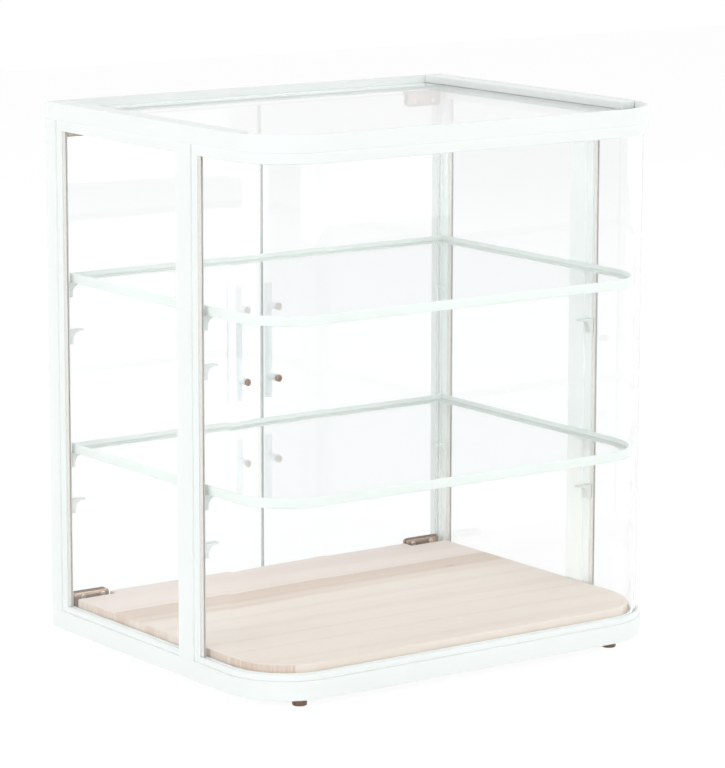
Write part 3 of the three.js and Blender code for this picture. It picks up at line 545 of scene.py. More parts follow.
def maple_face(name, colour, rear_colour, heart_colour):
    """Planed and lacquered maple, glued up from staves: pale, with fine lines along the board,
    a darker heartwood band in front of the rear stave and one small knot.
    """
    material, tree = new_material(name)
    here = {"Vector": (put(tree, "TexCoord"), "Object")}
    # Grain runs along X, so its patterns are stretched that way about thirty times.
    stretched = {"Vector": (put(tree, "Mapping", values={"Scale": (0.035, 1.0, 1.0)}, wires=here), "Vector")}
    wander = put(tree, "TexNoise", values={"Scale": 26.0, "Detail": 2.0, "Distortion": 0.4}, wires=stretched)
    fibre = put(tree, "TexNoise", values={"Scale": 1 / (1.1 * MM), "Detail": 3.0}, wires=stretched)
    rings = put(tree, "TexWave", fields={"wave_type": "BANDS", "bands_direction": "Y"}, wires=stretched,
                values={"Scale": 6.0, "Distortion": 14.0, "Detail": 3.0, "Detail Scale": 1.4})
    split = put(tree, "SeparateXYZ", wires=here)

    # The heartwood fades forwards from the joint over about 80 mm, along a wandering edge.
    edge_wander = put(tree, "Math", fields={"operation": "MULTIPLY_ADD"}, values={1: 0.12, 2: -0.06},
                      wires={0: (wander, "Fac")})
    wandering = put(tree, "Math", fields={"operation": "ADD"}, wires={0: (split, "Y"), 1: (edge_wander, "Value")})
    heart = put(tree, "MapRange", fields={"interpolation_type": "SMOOTHSTEP"},
                values={"From Min": 30 * MM, "From Max": 108 * MM, "To Max": 0.8},
                wires={"Value": (wandering, "Value")})
    fore = put(tree, "ValToRGB", wires={"Fac": (heart, "Result")},
               stops=((0.0, rgba(colour)), (1.0, rgba(heart_colour))))
    behind = put(tree, "MapRange", wires={"Value": (split, "Y")},
                 values={"From Min": STAVE_JOINT_Y - 0.1 * MM, "From Max": STAVE_JOINT_Y + 0.1 * MM})
    staves = put(tree, "Mix", fields={"data_type": "RGBA"}, values={"B": rgba(rear_colour)},
                 wires={"Factor": (behind, "Result"), "A": (fore, "Color")})

    lines = put(tree, "ValToRGB", wires={"Fac": (rings, "Fac")},
                stops=((0.0, (0.93, 0.905, 0.88, 1)), (0.35, WHITE)))
    ringed = put(tree, "Mix", fields={"data_type": "RGBA", "blend_type": "MULTIPLY"}, values={"Factor": 0.55},
                 wires={"A": (staves, "Result"), "B": (lines, "Color")})
    flecks = put(tree, "ValToRGB", wires={"Fac": (fibre, "Fac")},
                 stops=((0.3, (0.955, 0.945, 0.93, 1)), (0.55, WHITE)))
    fibred = put(tree, "Mix", fields={"data_type": "RGBA", "blend_type": "MULTIPLY"}, values={"Factor": 0.9},
                 wires={"A": (ringed, "Result"), "B": (flecks, "Color")})

    # One knot, a little longer along the grain than across it.
    centred = put(tree, "Mapping", fields={"vector_type": "TEXTURE"},
                  values={"Location": KNOT_PLACE, "Scale": (1.8, 1.0, 100.0)}, wires=here)
    from_knot = put(tree, "VectorMath", fields={"operation": "LENGTH"}, wires={0: (centred, "Vector")})
    knot = put(tree, "MapRange", values={"From Min": 2 * MM, "From Max": 7 * MM, "To Min": 0.5, "To Max": 0.0},
               wires={"Value": (from_knot, "Value")})
    knotted = put(tree, "Mix", fields={"data_type": "RGBA"}, values={"B": rgba(linear(KNOT_COLOUR))},
                  wires={"Factor": (knot, "Result"), "A": (fibred, "Result")})

    # The glue line between the staves is a fine dark one.
    from_joint = put(tree, "Math", fields={"operation": "SUBTRACT"}, values={1: STAVE_JOINT_Y},
                     wires={0: (split, "Y")})
    joint_gap = put(tree, "Math", fields={"operation": "ABSOLUTE"}, wires={0: (from_joint, "Value")})
    glue = put(tree, "MapRange", values={"From Min": 0.0, "From Max": 0.45 * MM, "To Min": 0.35, "To Max": 0.0},
               wires={"Value": (joint_gap, "Value")})
    jointed = put(tree, "Mix", fields={"data_type": "RGBA"}, values={"B": rgba(linear(GLUE_LINE_COLOUR))},
                  wires={"Factor": (glue, "Result"), "A": (knotted, "Result")})
    bump = put(tree, "Bump", values={"Strength": 0.15, "Distance": 0.05 * MM}, wires={"Height": (fibre, "Fac")})
    surface = put(tree, "BsdfPrincipled", values={"Roughness": 0.5}, wires={
        "Base Color": (jointed, "Result"), "Normal": (bump, "Normal")})
    put(tree, "OutputMaterial", wires={"Surface": (surface, 0)})
    return material


def maple_end(name, colour, dark_colour):
    """Sawn and sanded end grain of the board: fine upright lines about 3 mm apart, a little darker."""
    material, tree = new_material(name)
    here = {"Vector": (put(tree, "TexCoord"), "Object")}
    upwards = put(tree, "Mapping", values={"Scale": (1.0, 1.0, 0.12)}, wires=here)
    stretched = {"Vector": (upwards, "Vector")}
    lines = put(tree, "TexNoise", values={"Scale": 1 / (3.2 * MM), "Detail": 3.0}, wires=stretched)
    patches = put(tree, "TexNoise", values={"Scale": 22.0, "Detail": 1.0}, wires=stretched)
    both = put(tree, "Math", fields={"operation": "ADD"}, wires={0: (lines, "Fac"), 1: (patches, "Fac")})
    halved = put(tree, "Math", fields={"operation": "MULTIPLY"}, values={1: 0.5}, wires={0: (both, "Value")})
    tone = put(tree, "ValToRGB", wires={"Fac": (halved, "Value")},
               stops=((0.38, rgba(dark_colour)), (0.62, rgba(colour, 0.96))))
    bump = put(tree, "Bump", values={"Strength": 0.2, "Distance": 0.08 * MM}, wires={"Height": (lines, "Fac")})
    surface = put(tree, "BsdfPrincipled", values={"Roughness": 0.6}, wires={
        "Base Color": (tone, "Color"), "Normal": (bump, "Normal")})
    put(tree, "OutputMaterial", wires={"Surface": (surface, 0)})
    return material


NODE_SURFACES = (("glass", "glass"), ("gasket", "seal"), ("clip", "nickel"), ("handle_screw", "dark_screw"),
                 ("door_handle", "door_pull"), ("foot", "foot"), ("board", "wood"), ("", "powder_coat"))


class CABINET_OT_surfaces(bpy.types.Operator):
    """Makes the cabinet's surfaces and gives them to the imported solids"""
    bl_idname = "cabinet.surfaces"
    bl_label = "Surfaces"

    def execute(self, context):
        tone = context.scene.cabinet_colours
        MATERIALS.update({
            "powder_coat": powder_coat("white polyester powder coat", tone.coat, 0.42),
            # The shelf coat's darker colour is painted shade for the parts behind the glass.
            "shelf_coat_painted_shade": powder_coat("matt powder coat on shelf parts", tone.shelf, 0.5),
            "door_pull": powder_coat("gloss powder coat on the door pulls", tone.pull, 0.28),
            "glass": float_glass("clear float glass", tone.glass),
            "glass_edge": ground_edge("ground edge of float glass", tone.glass_edge),
            "seal": seal_rubber("pale sealing rubber", tone.seal),
            # The liner's dark brown is painted shade along the clip's edge.
            "liner_painted_shade": seal_rubber("brown rubber liner", tone.liner_painted_shade),
            # The nickel's brown tint is a painted reflection of the wood.
            "nickel": plated_metal("polished nickel plate", tone.nickel, 0.24, 0.7),
            "screw": plated_metal("bright zinc-plated steel", tone.screw, 0.3, 0.5),
            "dark_screw": plated_metal("browned steel", tone.dark_screw, 0.35, 0.5),
            "foot": moulded_plastic("dark brown moulded polypropylene", tone.foot),
            "wood": maple_face("lacquered maple staves", tone.maple, tone.maple_rear, tone.heartwood),
            "end_grain": maple_end("maple end grain", tone.maple, tone.heartwood),
        })
        for name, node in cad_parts.items():
            node.data.materials.clear()
            surface = next(surface for part, surface in NODE_SURFACES if part in name)
            node.data.materials.append(MATERIALS[surface])
        return {"FINISHED"}


# ---- Frame ----
PIVOT_BORE_RADIUS = 3.2 * MM


class CABINET_OT_frame_rings(bpy.types.Operator):
    """Models the folded base frame and the top rim"""
    bl_idname = "cabinet.frame_rings"
    bl_label = "Frame rings"

    def execute(self, context):
        bottom, top, sheet = low("base_frame").z, BASE_TOP, sizes().sheet
        # Skirt, seat flange above and a wider flange below, from the outer face inwards.
        columns = [0, sheet, 40 * MM, 48 * MM]
        rows = [bottom, bottom + sheet, top - sheet, top]
        cells = {(0, 0), (1, 0), (2, 0), (0, 1), (0, 2), (1, 2)}
        self.frame_ring("base_ring", "base_frame", columns, rows, cells, top - sheet / 2)

        bottom, top, pane_seat = RIM_BOTTOM, high("top_rim").z, low("glass_top").z
        # Lip outside, the seat of the top pane and a flange under it.
        columns = [0, 4 * MM, 28 * MM]
        rows = [bottom, bottom + sheet, pane_seat - sheet, pane_seat, top]
        cells = {(0, 0), (0, 1), (0, 2), (0, 3), (1, 0), (1, 2)}
        self.frame_ring("rim_ring", "top_rim", columns, rows, cells, bottom + sheet / 2)
        return {"FINISHED"}

    @staticmethod
    def frame_ring(name, node, columns, rows, cells, bored_z):
        piece = ring(name, columns, rows, cells, REAR_Y)
        round_along(piece, 2, lambda point: near(abs(point.x), HALF_WIDTH) and near(point.y, REAR_Y),
                    sizes().rear_corner, 4)
        close_up(piece)
        ease(piece, sizes().edge_round, 3)
        for side in (LEFT, RIGHT):
            bore = rod("bore", (side * PIVOT_X, DOOR_Y, bored_z), PIVOT_BORE_RADIUS, 6 * MM, "Z", sides=24)
            combine(piece, bore, "DIFFERENCE")
        dress(piece, "powder_coat", "cabinet", node)


# A channel's section: outer wall, pane gap and inner wall, over a floor.
CHANNEL_COLUMNS = [3 * MM, 5.7 * MM, 10.3 * MM, 13 * MM]
CHANNEL_FLOOR = 2.4 * MM
CHANNEL_CELLS = {(0, 0), (1, 0), (2, 0), (0, 1), (2, 1)}
# The base channel's outer wall stands further out, as far as the pane's setting bead does.
BASE_CHANNEL_OUTSIDE = 1.6 * MM


def inset_of(point):
    """How far a point lies inside the cabinet's outline in plan."""
    radius = sizes().corner_radius
    corner_x, corner_y = HALF_WIDTH - radius, FRONT_Y + radius
    if point.y >= corner_y:
        return HALF_WIDTH - abs(point.x)
    if abs(point.x) > corner_x:
        return radius - math.hypot(abs(point.x) - corner_x, point.y - corner_y)
    return point.y - FRONT_Y


class CABINET_OT_channels(bpy.types.Operator):
    """Models the channels that the fixed panes stand in"""
    bl_idname = "cabinet.channels"
    bl_label = "Pane channels"

    def execute(self, context):
        base_levels = [BASE_TOP, BASE_TOP + CHANNEL_FLOOR, high("base_channel_front").z]
        self.three_rails("base", [BASE_CHANNEL_OUTSIDE, *CHANNEL_COLUMNS[1:]], base_levels, CHANNEL_CELLS,
                         base_levels[-1], base_levels[0], 3.2 * MM)
        top_levels = [low("top_channel_front").z, RIM_BOTTOM - CHANNEL_FLOOR, RIM_BOTTOM]
        turned_over = {(column, 1 - row) for column, row in CHANNEL_CELLS}
        self.three_rails("top", CHANNEL_COLUMNS, top_levels, turned_over,
                         top_levels[0], top_levels[-1], 1.8 * MM)
        return {"FINISHED"}

    @staticmethod
    def three_rails(level, columns, rows, cells, lip, seat, lip_round):
        """Front, left and right rail, each with a round lip and a fine seam at its seat."""
        for place in ("front", "left", "right"):
            node, name = f"{level}_channel_{place}", f"{level}_rail_{place}"
            if place == "front":
                piece = sweep_round_front(name, columns, rows, cells, high(node).y)
            else:
                side = dict(SIDES)[place]
                piece = section(name, columns, rows, cells, (-side, 0, 0), (0, 0, 1),
                                (side * HALF_WIDTH, low(node).y, 0))
                pull_out((0, high(node).y - low(node).y, 0))
            for z, offset, steps in ((lip, lip_round, 5), (seat, 0.9 * MM, 2)):
                round_between(piece, lambda point: near(point.z, z) and near(inset_of(point), columns[0], 4e-5),
                              offset, steps)
            close_up(piece)
            ease(piece, 0.35 * MM)
            dress(piece, "powder_coat", "cabinet", node)


# A post's section in columns: two walls outside, the recessed strip's two sides, and the pane slot between.
POST_COLUMNS = [value * MM for value in (0, 2, 4, 5.05, 5.7, 10.3, 10.95, 12, 14, 16)]
POST_STRIP = 12 * MM
POST_SLOT_DEPTH = 6.1 * MM
SIDE_PANE_SLOT_DEPTH = 9.3 * MM
SEAL_LIP = 0.8 * MM
SEAL_FACE = 0.73 * MM


class CABINET_OT_posts(bpy.types.Operator):
    """Models the four extruded posts and the seals in their slots"""
    bl_idname = "cabinet.posts"
    bl_label = "Posts and seals"

    def execute(self, context):
        for name, side in SIDES:
            # A front post also holds the side pane, in a slot at its back with the chamber in front of it.
            slot = {"rows": [SIDE_PANE_SLOT_DEPTH, 11.3 * MM], "hollow_row": 2, "gaps": {(4, 0)}}
            self.post(f"front_{name}", side, 28 * MM, **slot)
            self.seal(f"front_{name}", side)
            self.post(f"rear_{name}", side, 19 * MM, [2 * MM], 1, set())
            self.seal(f"rear_{name}", side)
        return {"FINISHED"}

    @staticmethod
    def post(label, side, flat, rows, hollow_row, gaps):
        node, nose, columns = f"post_{label}", sizes().nose_radius, POST_COLUMNS
        tip = flat + nose + POST_STRIP
        rows = [0, *rows, flat, flat + nose, tip - POST_SLOT_DEPTH, tip]
        last = len(rows) - 2
        cells = {(column, row) for column in range(len(columns) - 1) for row in range(len(rows) - 1)}
        cells -= {(column, last) for column in (3, 4, 5)}
        cells -= {(column, row) for column in (0, 1, 7, 8) for row in (last, last - 1)}
        cells -= {(column, hollow_row) for column in range(1, 8)} | gaps
        back, outer = high(node).y, (HALF_WIDTH, HALF_WIDTH - columns[-1])
        piece = upright(f"post_bar_{label}", side, columns, rows, cells, back, BASE_TOP, RIM_BOTTOM)
        # The nose takes all its row but a hair, so that no edge runs into the next.
        for y, offset, steps in ((back - flat - nose, nose - 0.05 * MM, 8), (back, 1.2 * MM, 4)):
            round_along(piece, 2, lambda point: near(point.y, y) and any(near(abs(point.x), x) for x in outer),
                        offset, steps)
        close_up(piece)
        dress(piece, "powder_coat", "cabinet", node)

    @staticmethod
    def seal(label, side):
        node = f"gasket_{label}"
        a, b = low(node), high(node)
        outer, inner = sorted(HALF_WIDTH - abs(x) for x in (a.x, b.x))
        columns = [outer, outer + SEAL_LIP, inner - SEAL_LIP, inner]
        cells = {(0, 0), (1, 0), (2, 0), (0, 1), (2, 1)}
        piece = upright(f"seal_{label}", side, columns, [0, SEAL_FACE, b.y - a.y], cells, b.y, a.z, b.z)
        close_up(piece)
        ease(piece, 0.2 * MM)
        dress(piece, "seal", "cabinet", node)


class CABINET_OT_top_trims(bpy.types.Operator):
    """Models the two bars that cover the side edges of the top pane"""
    bl_idname = "cabinet.top_trims"
    bl_label = "Top trim bars"

    def execute(self, context):
        for name, _ in SIDES:
            node = f"top_trim_{name}"
            piece = block(f"trim_bar_{name}", low(node), high(node))
            close_up(piece)
            ease(piece, 1.4 * MM, 4)
            dress(piece, "powder_coat", "cabinet", node)
        return {"FINISHED"}


class CABINET_OT_feet(bpy.types.Operator):
    """Models the four moulded feet"""
    bl_idname = "cabinet.feet"
    bl_label = "Feet"

    def execute(self, context):
        first = None
        for place in ("front_left", "front_right", "rear_left", "rear_right"):
            node = f"foot_{place}"
            name, centre = f"moulded_{node}", centre_of(node)
            if first is None:
                origin, piece = centre, self.foot(name, centre)
                first = piece
            else:
                piece = copy_of(first, name, Matrix.Translation(centre - origin))
            dress(piece, "foot", "cabinet", node)
        return {"FINISHED"}

    @staticmethod
    def foot(name, centre):
        """A round foot with a hollow tread and the spigot that snaps into the base frame."""
        top, radius, spigot_radius, spigot = 13.7 * MM, 10 * MM, 3.7 * MM, 3.6 * MM
        piece = rod(name, (centre.x, centre.y, top / 2), radius, top, "Z", sides=48)
        pick(piece, "FACE", lambda face: face.normal.z < -0.9)
        taper = 1 - sizes().foot_taper / radius
        bpy.ops.transform.resize(value=(taper, taper, 1), center_override=(centre.x, centre.y, 0))
        bpy.ops.mesh.inset(thickness=2.4 * MM)
        bpy.ops.mesh.inset(thickness=0.5 * MM, depth=-0.8 * MM)
        pick(piece, "FACE", lambda face: face.normal.z > 0.9)
        bpy.ops.mesh.inset(thickness=radius - spigot_radius)
        pull_out((0, 0, spigot))
        round_between(piece, lambda point: near(point.z, 0)
                      and math.hypot(point.x - centre.x, point.y - centre.y) > 9 * MM, 1.3 * MM, 4)
        close_up(piece)
        ease(piece, 0.3 * MM, 2, 50)
        return piece


# ---- Panes ----
def grind(piece, node, through):
    """Closes a fixed pane, grinds its edges and dresses it."""
    close_up(piece)
    ease(piece, sizes().arris, 1)
    glaze(piece, "cabinet", node, through)


class CABINET_OT_fixed_panes(bpy.types.Operator):
    """Models the bent front pane, the side panes and the top pane"""
    bl_idname = "cabinet.fixed_panes"
    bl_label = "Fixed panes"

    def execute(self, context):
        a, b = low("glass_front"), high("glass_front")
        front = sweep_round_front("pane_front", [6 * MM, 10 * MM], [a.z, b.z], {(0, 0)}, b.y)
        grind(front, "glass_front", lambda normal: abs(normal.z) < 0.3)
        for name, _ in SIDES:
            node = f"glass_side_{name}"
            grind(block(f"pane_side_{name}", low(node), high(node)), node, facing(0))
        grind(plate("pane_top", "glass_top"), "glass_top", facing(2))
        return {"FINISHED"}


# ---- Inside ----
NOTCH_INNER_X, PAST_THE_BOARD_X = 245 * MM, 400 * MM
NOTCH_DEPTH = 17 * MM


class CABINET_OT_bottom_board(bpy.types.Operator):
    """Models the wooden bottom board with its two notches"""
    bl_idname = "cabinet.bottom_board"
    bl_label = "Bottom board"

    def execute(self, context):
        a, b = low("bottom_board"), high("bottom_board")
        piece = plate("maple_board", "bottom_board")
        close_up(piece)
        for side in (LEFT, RIGHT):
            notch = block("notch", (side * NOTCH_INNER_X, b.y - NOTCH_DEPTH, a.z - MM),
                          (side * PAST_THE_BOARD_X, b.y + MM, b.z + MM))
            combine(piece, notch, "DIFFERENCE")
        ease(piece, sizes().board_ease, 3)
        piece.data.materials.append(MATERIALS["wood"])
        piece.data.materials.append(MATERIALS["end_grain"])
        for face in piece.data.polygons:
            if abs(face.normal.x) > 0.45 and abs(face.normal.z) < 0.6:
                face.material_index = 1
        dress(piece, "wood", "cabinet", "bottom_board")
        return {"FINISHED"}


class CABINET_OT_shelves(bpy.types.Operator):
    """Models the two shelf frames and the panes that lie in them"""
    bl_idname = "cabinet.shelves"
    bl_label = "Shelves"

    def execute(self, context):
        for place in ("lower", "upper"):
            node, pane_node = f"shelf_frame_{place}", f"shelf_glass_{place}"
            a, b = low(node), high(node)
            # An angle section: wall outside, flange for the pane at the bottom.
            rail = ring(f"shelf_rail_{place}", [0, 2.2 * MM, 14 * MM], [a.z, a.z + 2 * MM, b.z],
                        {(0, 0), (1, 0), (0, 1)}, b.y, a.y - FRONT_Y)
            close_up(rail)
            ease(rail, 0.5 * MM, 3)
            dress(rail, "shelf_coat_painted_shade", "cabinet", node)
            grind(plate(f"shelf_pane_{place}", pane_node), pane_node, facing(2))
        return {"FINISHED"}


FIRST_BRACKET = "bracket_front_left_1"


class CABINET_OT_brackets(bpy.types.Operator):
    """Models one shelf bracket and copies it to its sixteen places"""
    bl_idname = "cabinet.brackets"
    bl_label = "Shelf brackets"

    def execute(self, context):
        first = self.bracket(low(FIRST_BRACKET), high(FIRST_BRACKET))
        for place in ("front", "rear"):
            for name, side in SIDES:
                for level in range(1, 5):
                    node = f"bracket_{place}_{name}_{level}"
                    shift = low(node) - low(FIRST_BRACKET)
                    move = Matrix.Translation(shift)
                    if side == RIGHT:
                        shift.x = 0
                        move = Matrix.Translation(shift) @ MIRROR_X
                    piece = first if node == FIRST_BRACKET else copy_of(first, f"clip_{node}", move)
                    dress(piece, "shelf_coat_painted_shade", "cabinet", node)
        return {"FINISHED"}

    @staticmethod
    def bracket(a, b):
        """A thin plate with a hollow curve between its leg and its arm."""
        leg, arm = 6 * MM, 2.4 * MM
        piece = section(f"clip_{FIRST_BRACKET}", [0, leg, b.x - a.x], [0, b.z - a.z - arm, b.z - a.z],
                        {(0, 0), (0, 1), (1, 1)}, (1, 0, 0), (0, 0, 1), a)
        pull_out((0, b.y - a.y, 0))
        round_along(piece, 1, lambda point: near(point.x, a.x + leg) and near(point.z, b.z - arm), 11.5 * MM, 10)
        round_along(piece, 1, lambda point: near(point.x, b.x), 1.1 * MM, 5)
        close_up(piece)
        ease(piece, 0.35 * MM, 2, 45)
        return piece


# ---- Doors: each form is modelled for the left door and mirrored for the right one ----
def both_doors(piece, material, node):
    """Dresses the left door's piece and a mirrored copy for the right door."""
    twin = copy_of(piece, piece.name.replace("left", "right"), MIRROR_X)
    dress(piece, material, "left_door", node)
    dress(twin, material, "right_door", node.replace("left", "right"))


class CABINET_OT_door_panes(bpy.types.Operator):
    """Models the two frameless door panes with their handle holes"""
    bl_idname = "cabinet.door_panes"
    bl_label = "Door panes"

    def execute(self, context):
        piece = block("door_pane_left", low("door_glass_left"), high("door_glass_left"))
        close_up(piece)
        for level in SCREW_LEVELS:
            bore = rod("bore", (HANDLE_X, DOOR_Y, level), 2.8 * MM, 12 * MM, "Y", sides=32)
            combine(piece, bore, "DIFFERENCE")
        ease(piece, sizes().arris, 1, 60)
        twin = copy_of(piece, "door_pane_right", MIRROR_X)
        glaze(piece, "left_door", "door_glass_left", facing(1))
        glaze(twin, "right_door", "door_glass_right", facing(1))
        return {"FINISHED"}


CLIP_LENGTH, CLIP_HEIGHT, CLIP_WEB = 55 * MM, 20 * MM, 2.7 * MM
# Both jaws of a clip, and the rubber liner inside each, measured across the door pane. The liner's dark brown is
# painted shade along the jaws' edge where the pane leaves the clip.
CLIP_COLUMNS = [value * MM for value in (-7, -3.3, 3.3, 7)]
LINER_COLUMNS = [value * MM for value in (-4.4, -3.05, 3.05, 4.4)]
CLIP_FRAME_GAP = 2.4 * MM
# The screws lie higher than in the solids, so that they show above the board as the real ones do.
CLAMP_SCREW_PLACES = ((1, 14 * MM), (2, 45 * MM))
CLAMP_SCREW_Z = 14 * MM


class CABINET_OT_pivot_clips(bpy.types.Operator):
    """Models a pivot clip with its collar, pin and clamp screws, and copies it to the four corners"""
    bl_idname = "cabinet.pivot_clips"
    bl_label = "Pivot clips"

    def execute(self, context):
        x, bottom = low("door_clip_bottom_left").x, BASE_TOP + CLIP_FRAME_GAP
        top, end = bottom + CLIP_HEIGHT, x + CLIP_LENGTH
        clip = section("pivot_clip_bottom_left", CLIP_COLUMNS, [0, CLIP_WEB, CLIP_HEIGHT],
                       {(0, 0), (1, 0), (2, 0), (0, 1), (2, 1)}, (0, 1, 0), (0, 0, 1), (x, DOOR_Y, bottom))
        pull_out((CLIP_LENGTH, 0, 0))
        round_along(clip, 1, lambda point: near(point.x, end) and near(point.z, top), sizes().clip_round, 8)
        close_up(clip)
        ease(clip, 0.7 * MM, 3)

        collar = rod("pivot_pin_bottom_left", (-PIVOT_X, DOOR_Y, bottom - CLIP_FRAME_GAP / 2), 6 * MM,
                     CLIP_FRAME_GAP, "Z")
        pick(collar, "FACE", lambda face: face.normal.z < -0.9)
        bpy.ops.mesh.inset(thickness=3 * MM)
        pull_out((0, 0, -3.6 * MM))
        close_up(collar)
        ease(collar, 0.3 * MM)

        # A dark strip standing on the jaws' edge: painted shade where the door pane leaves the clip.
        liner_painted_shade = section("clip_liner_bottom_left", LINER_COLUMNS, [0, 0.9 * MM], {(0, 0), (2, 0)},
                        (0, 1, 0), (0, 0, 1), (x + 0.6 * MM, DOOR_Y, top))
        pull_out((50 * MM, 0, 0))
        close_up(liner_painted_shade)
        ease(liner_painted_shade, 0.25 * MM)

        screws = [self.clamp_screw(f"clamp_screw_bottom_left_{index}", x + place, DOOR_Y + CLIP_COLUMNS[0],
                                   bottom + CLAMP_SCREW_Z) for index, place in CLAMP_SCREW_PLACES]

        over = Matrix.Translation((0, 0, BASE_TOP + RIM_BOTTOM)) @ Matrix.Diagonal((1, 1, -1, 1))
        made = [(clip, "nickel"), (collar, "screw"), (liner_painted_shade, "liner_painted_shade"), *((screw, "screw") for screw in screws)]
        for piece, material in made:
            upper = copy_of(piece, piece.name.replace("bottom", "top"), over)
            both_doors(piece, material, "door_clip_bottom_left")
            both_doors(upper, material, "door_clip_top_left")
        return {"FINISHED"}

    @staticmethod
    def clamp_screw(name, x, y, z):
        """A pan-head screw with a cross recess, on the clip's face at y."""
        face_y = y - 2 * MM
        head = rod(name, (x, y - 0.75 * MM, z), 3.5 * MM, 2.5 * MM, "Y")
        round_between(head, lambda point: near(point.y, face_y), 1.1 * MM, 5)
        close_up(head)
        for turn in (0.3, 0.3 + QUARTER):
            slot = begin("slot", "cube", size=1, location=(x, face_y, z), rotation=(0, turn, 0),
                         scale=(4 * MM, 1.8 * MM, 0.8 * MM))
            combine(head, slot, "DIFFERENCE")
        return head


PULL_RADIUS, STANDOFF_RADIUS = 6 * MM, 5 * MM
SCREW_HEAD = 3.2 * MM


class CABINET_OT_door_handles(bpy.types.Operator):
    """Models a round door pull on two standoffs, its screws, and the copies on the other door"""
    bl_idname = "cabinet.door_handles"
    bl_label = "Door handles"

    def execute(self, context):
        a, b = low("door_handle_left"), high("door_handle_left")
        bar_y = b.y - PULL_RADIUS
        bar = rod("door_pull_left", (HANDLE_X, bar_y, (a.z + b.z) / 2), PULL_RADIUS, b.z - a.z, "Z", sides=56)
        round_ends(bar, 2, (a.z, b.z), 0.8 * MM, 4)
        close_up(bar)
        for level in SCREW_LEVELS:
            leg = rod("standoff", (HANDLE_X, (a.y + bar_y) / 2, level), STANDOFF_RADIUS, bar_y - a.y,
                      "Y", sides=48)
            round_ends(leg, 1, (a.y, bar_y), 0.4 * MM, 3)
            close_up(leg)
            combine(bar, leg, "UNION")
        both_doors(bar, "door_pull", "door_handle_left")

        for index, level in enumerate(SCREW_LEVELS, start=1):
            node = f"handle_screw_left_{index}"
            front, back = low(node).y, high(node).y
            head = rod(f"socket_screw_left_{index}", (HANDLE_X, front + SCREW_HEAD / 2, level), 5 * MM,
                       SCREW_HEAD, "Y", sides=48)
            round_between(head, lambda point: near(point.y, front), 0.7 * MM, 4)
            pick(head, "FACE", lambda face: face.normal.y > 0.9)
            bpy.ops.mesh.inset(thickness=2.5 * MM)
            pull_out((0, back - front - SCREW_HEAD, 0))
            close_up(head)
            socket = rod("socket", (HANDLE_X, front, level), 2.4 * MM, 3.6 * MM, "Y", sides=6)
            combine(head, socket, "DIFFERENCE")
            both_doors(head, "dark_screw", node)
        return {"FINISHED"}


# ---- Stage ----
# The camera's place and angle put the cabinet's edges where the photograph has them.
CAMERA_PLACE = (-2.7723, -3.8657, 1.2281)
CAMERA_YAW, CAMERA_PITCH, CAMERA_ROLL = (math.radians(value) for value in (35.735, -10.491, 0.103))
CAMERA_FOCAL_PIXELS = 3657.8
# The sensor's width spans the longer side of the picture.
LONG_SIDE_PIXELS = 768
SENSOR_MM = 36.0

# Five large soft lamps all round: name, place, side and power. They reach the inside through the panes.
LAMPS = (
    ("front lamp", (0.8, -4.0, 0.9), 3.6, 84),
    ("left lamp", (-4.0, -0.2, 0.9), 3.6, 86),
    ("right lamp", (4.0, 0.4, 0.9), 3.6, 54),
    ("rear lamp", (-0.4, 4.0, 0.9), 3.6, 52),
    ("top lamp", (0.0, -0.2, 3.6), 3.0, 34),
)
LAMP_TARGET = Vector((0, 0, 0.36))
SKY_STRENGTH = 0.36
VIEW_DISTANCE = 50

# The floor's side in metres, its lift where it is seen, and how much of the lift is mixed in.
FLOOR_SIDE, FLOOR_LIFT, FLOOR_LIFT_SHARE = 14, 1.14, 0.8


def seen_white(tree):
    """One for the camera's, glossy and transmitted rays, which see plain white, and zero for the rest."""
    ray = put(tree, "LightPath")
    first = put(tree, "Math", fields={"operation": "MAXIMUM"},
                wires={0: (ray, "Is Camera Ray"), 1: (ray, "Is Glossy Ray")})
    return put(tree, "Math", fields={"operation": "MAXIMUM"},
               wires={0: (first, "Value"), 1: (ray, "Is Transmission Ray")})


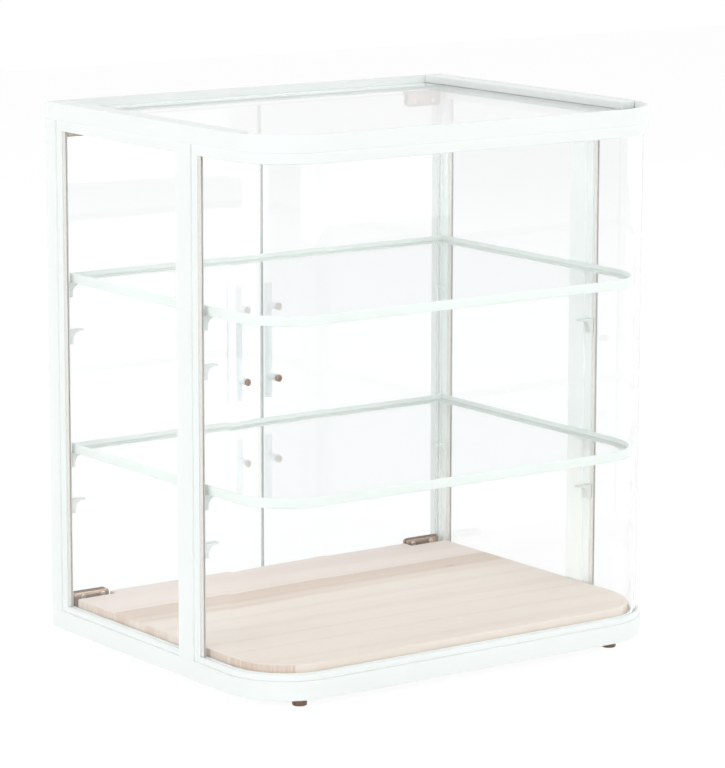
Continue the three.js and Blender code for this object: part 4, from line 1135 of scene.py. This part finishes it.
class CABINET_OT_stage(bpy.types.Operator):
    """Sets up the floor, the soft light and the camera"""
    bl_idname = "cabinet.stage"
    bl_label = "Stage"

    def execute(self, context):
        scene = context.scene
        self.floor()
        self.sky(scene)
        for lamp in LAMPS:
            self.lamp(*lamp)
        self.camera(scene)
        scene.view_settings.view_transform = "Standard"
        return {"FINISHED"}

    @staticmethod
    def floor():
        """A pale floor that keeps the cabinet's shadow and is lifted to white where it is seen."""
        piece = begin("floor", "plane", size=FLOOR_SIDE, location=(0, 0, 0))
        bpy.ops.object.mode_set(mode="OBJECT")
        material, tree = new_material("pale studio floor")
        matt = put(tree, "BsdfDiffuse", values={"Color": rgba(linear("FAFAFA"))})
        white = put(tree, "Emission", values={"Color": WHITE, "Strength": FLOOR_LIFT})
        most = put(tree, "Math", fields={"operation": "MULTIPLY"}, values={1: FLOOR_LIFT_SHARE},
                   wires={0: (seen_white(tree), "Value")})
        mixed = put(tree, "MixShader", wires={0: (most, "Value"), 1: (matt, 0), 2: (white, 0)})
        put(tree, "OutputMaterial", wires={"Surface": (mixed, 0)})
        piece.data.materials.append(material)

    @staticmethod
    def sky(scene):
        scene.world = bpy.data.worlds.new("studio")
        scene.world.use_nodes = True
        tree = scene.world.node_tree
        tree.nodes.clear()
        soft = put(tree, "Background", values={"Color": WHITE, "Strength": SKY_STRENGTH})
        white = put(tree, "Background", values={"Color": WHITE, "Strength": 1.0})
        mixed = put(tree, "MixShader", wires={0: (seen_white(tree), "Value"), 1: (soft, 0), 2: (white, 0)})
        put(tree, "OutputWorld", wires={"Surface": (mixed, 0)})

    @staticmethod
    def lamp(name, place, size, power):
        data = bpy.data.lights.new(name, "AREA")
        data.shape, data.size, data.energy = "SQUARE", size, power
        lamp = bpy.data.objects.new(name, data)
        bpy.context.collection.objects.link(lamp)
        lamp.location = place
        lamp.rotation_euler = (LAMP_TARGET - Vector(place)).to_track_quat("-Z", "Y").to_euler()
        # The panes mirror the plain white surroundings and not the lamps.
        lamp.visible_glossy = False

    @staticmethod
    def camera(scene):
        data = bpy.data.cameras.new("camera")
        data.sensor_width = SENSOR_MM
        data.lens = CAMERA_FOCAL_PIXELS * SENSOR_MM / LONG_SIDE_PIXELS
        data.clip_end = VIEW_DISTANCE
        camera = bpy.data.objects.new("camera", data)
        bpy.context.collection.objects.link(camera)
        camera.matrix_world = (Matrix.Translation(CAMERA_PLACE) @ Matrix.Rotation(-CAMERA_YAW, 4, "Z")
                               @ Matrix.Rotation(QUARTER + CAMERA_PITCH, 4, "X")
                               @ Matrix.Rotation(CAMERA_ROLL, 4, "Z"))
        scene.camera = camera


OPERATORS = (
    CABINET_OT_surfaces, CABINET_OT_frame_rings, CABINET_OT_channels, CABINET_OT_posts, CABINET_OT_top_trims,
    CABINET_OT_feet, CABINET_OT_fixed_panes, CABINET_OT_bottom_board, CABINET_OT_shelves, CABINET_OT_brackets,
    CABINET_OT_door_panes, CABINET_OT_pivot_clips, CABINET_OT_door_handles, CABINET_OT_stage,
)


class CABINET_PT_panel(bpy.types.Panel):
    """Lists the cabinet's steps, sizes and colours"""
    bl_idname = "CABINET_PT_panel"
    bl_label = "Glass display cabinet"
    bl_space_type = "VIEW_3D"
    bl_region_type = "UI"
    bl_category = "Cabinet"

    def draw(self, context):
        for operator in OPERATORS:
            self.layout.operator(operator.bl_idname)
        for group in (context.scene.cabinet_sizes, context.scene.cabinet_colours):
            for field in group.bl_rna.properties:
                if field.identifier not in {"rna_type", "name"}:
                    self.layout.prop(group, field.identifier)


CLASSES = (CabinetSizes, CabinetColours, *OPERATORS, CABINET_PT_panel)


def register():
    for item in CLASSES:
        bpy.utils.register_class(item)
    bpy.types.Scene.cabinet_sizes = PointerProperty(type=CabinetSizes)
    bpy.types.Scene.cabinet_colours = PointerProperty(type=CabinetColours)


def unregister():
    del bpy.types.Scene.cabinet_sizes
    del bpy.types.Scene.cabinet_colours
    for item in reversed(CLASSES):
        bpy.utils.unregister_class(item)


def main():
    register()
    for operator in OPERATORS:
        group, name = operator.bl_idname.split(".")
        getattr(getattr(bpy.ops, group), name)()


if __name__ == "__main__":
    main()
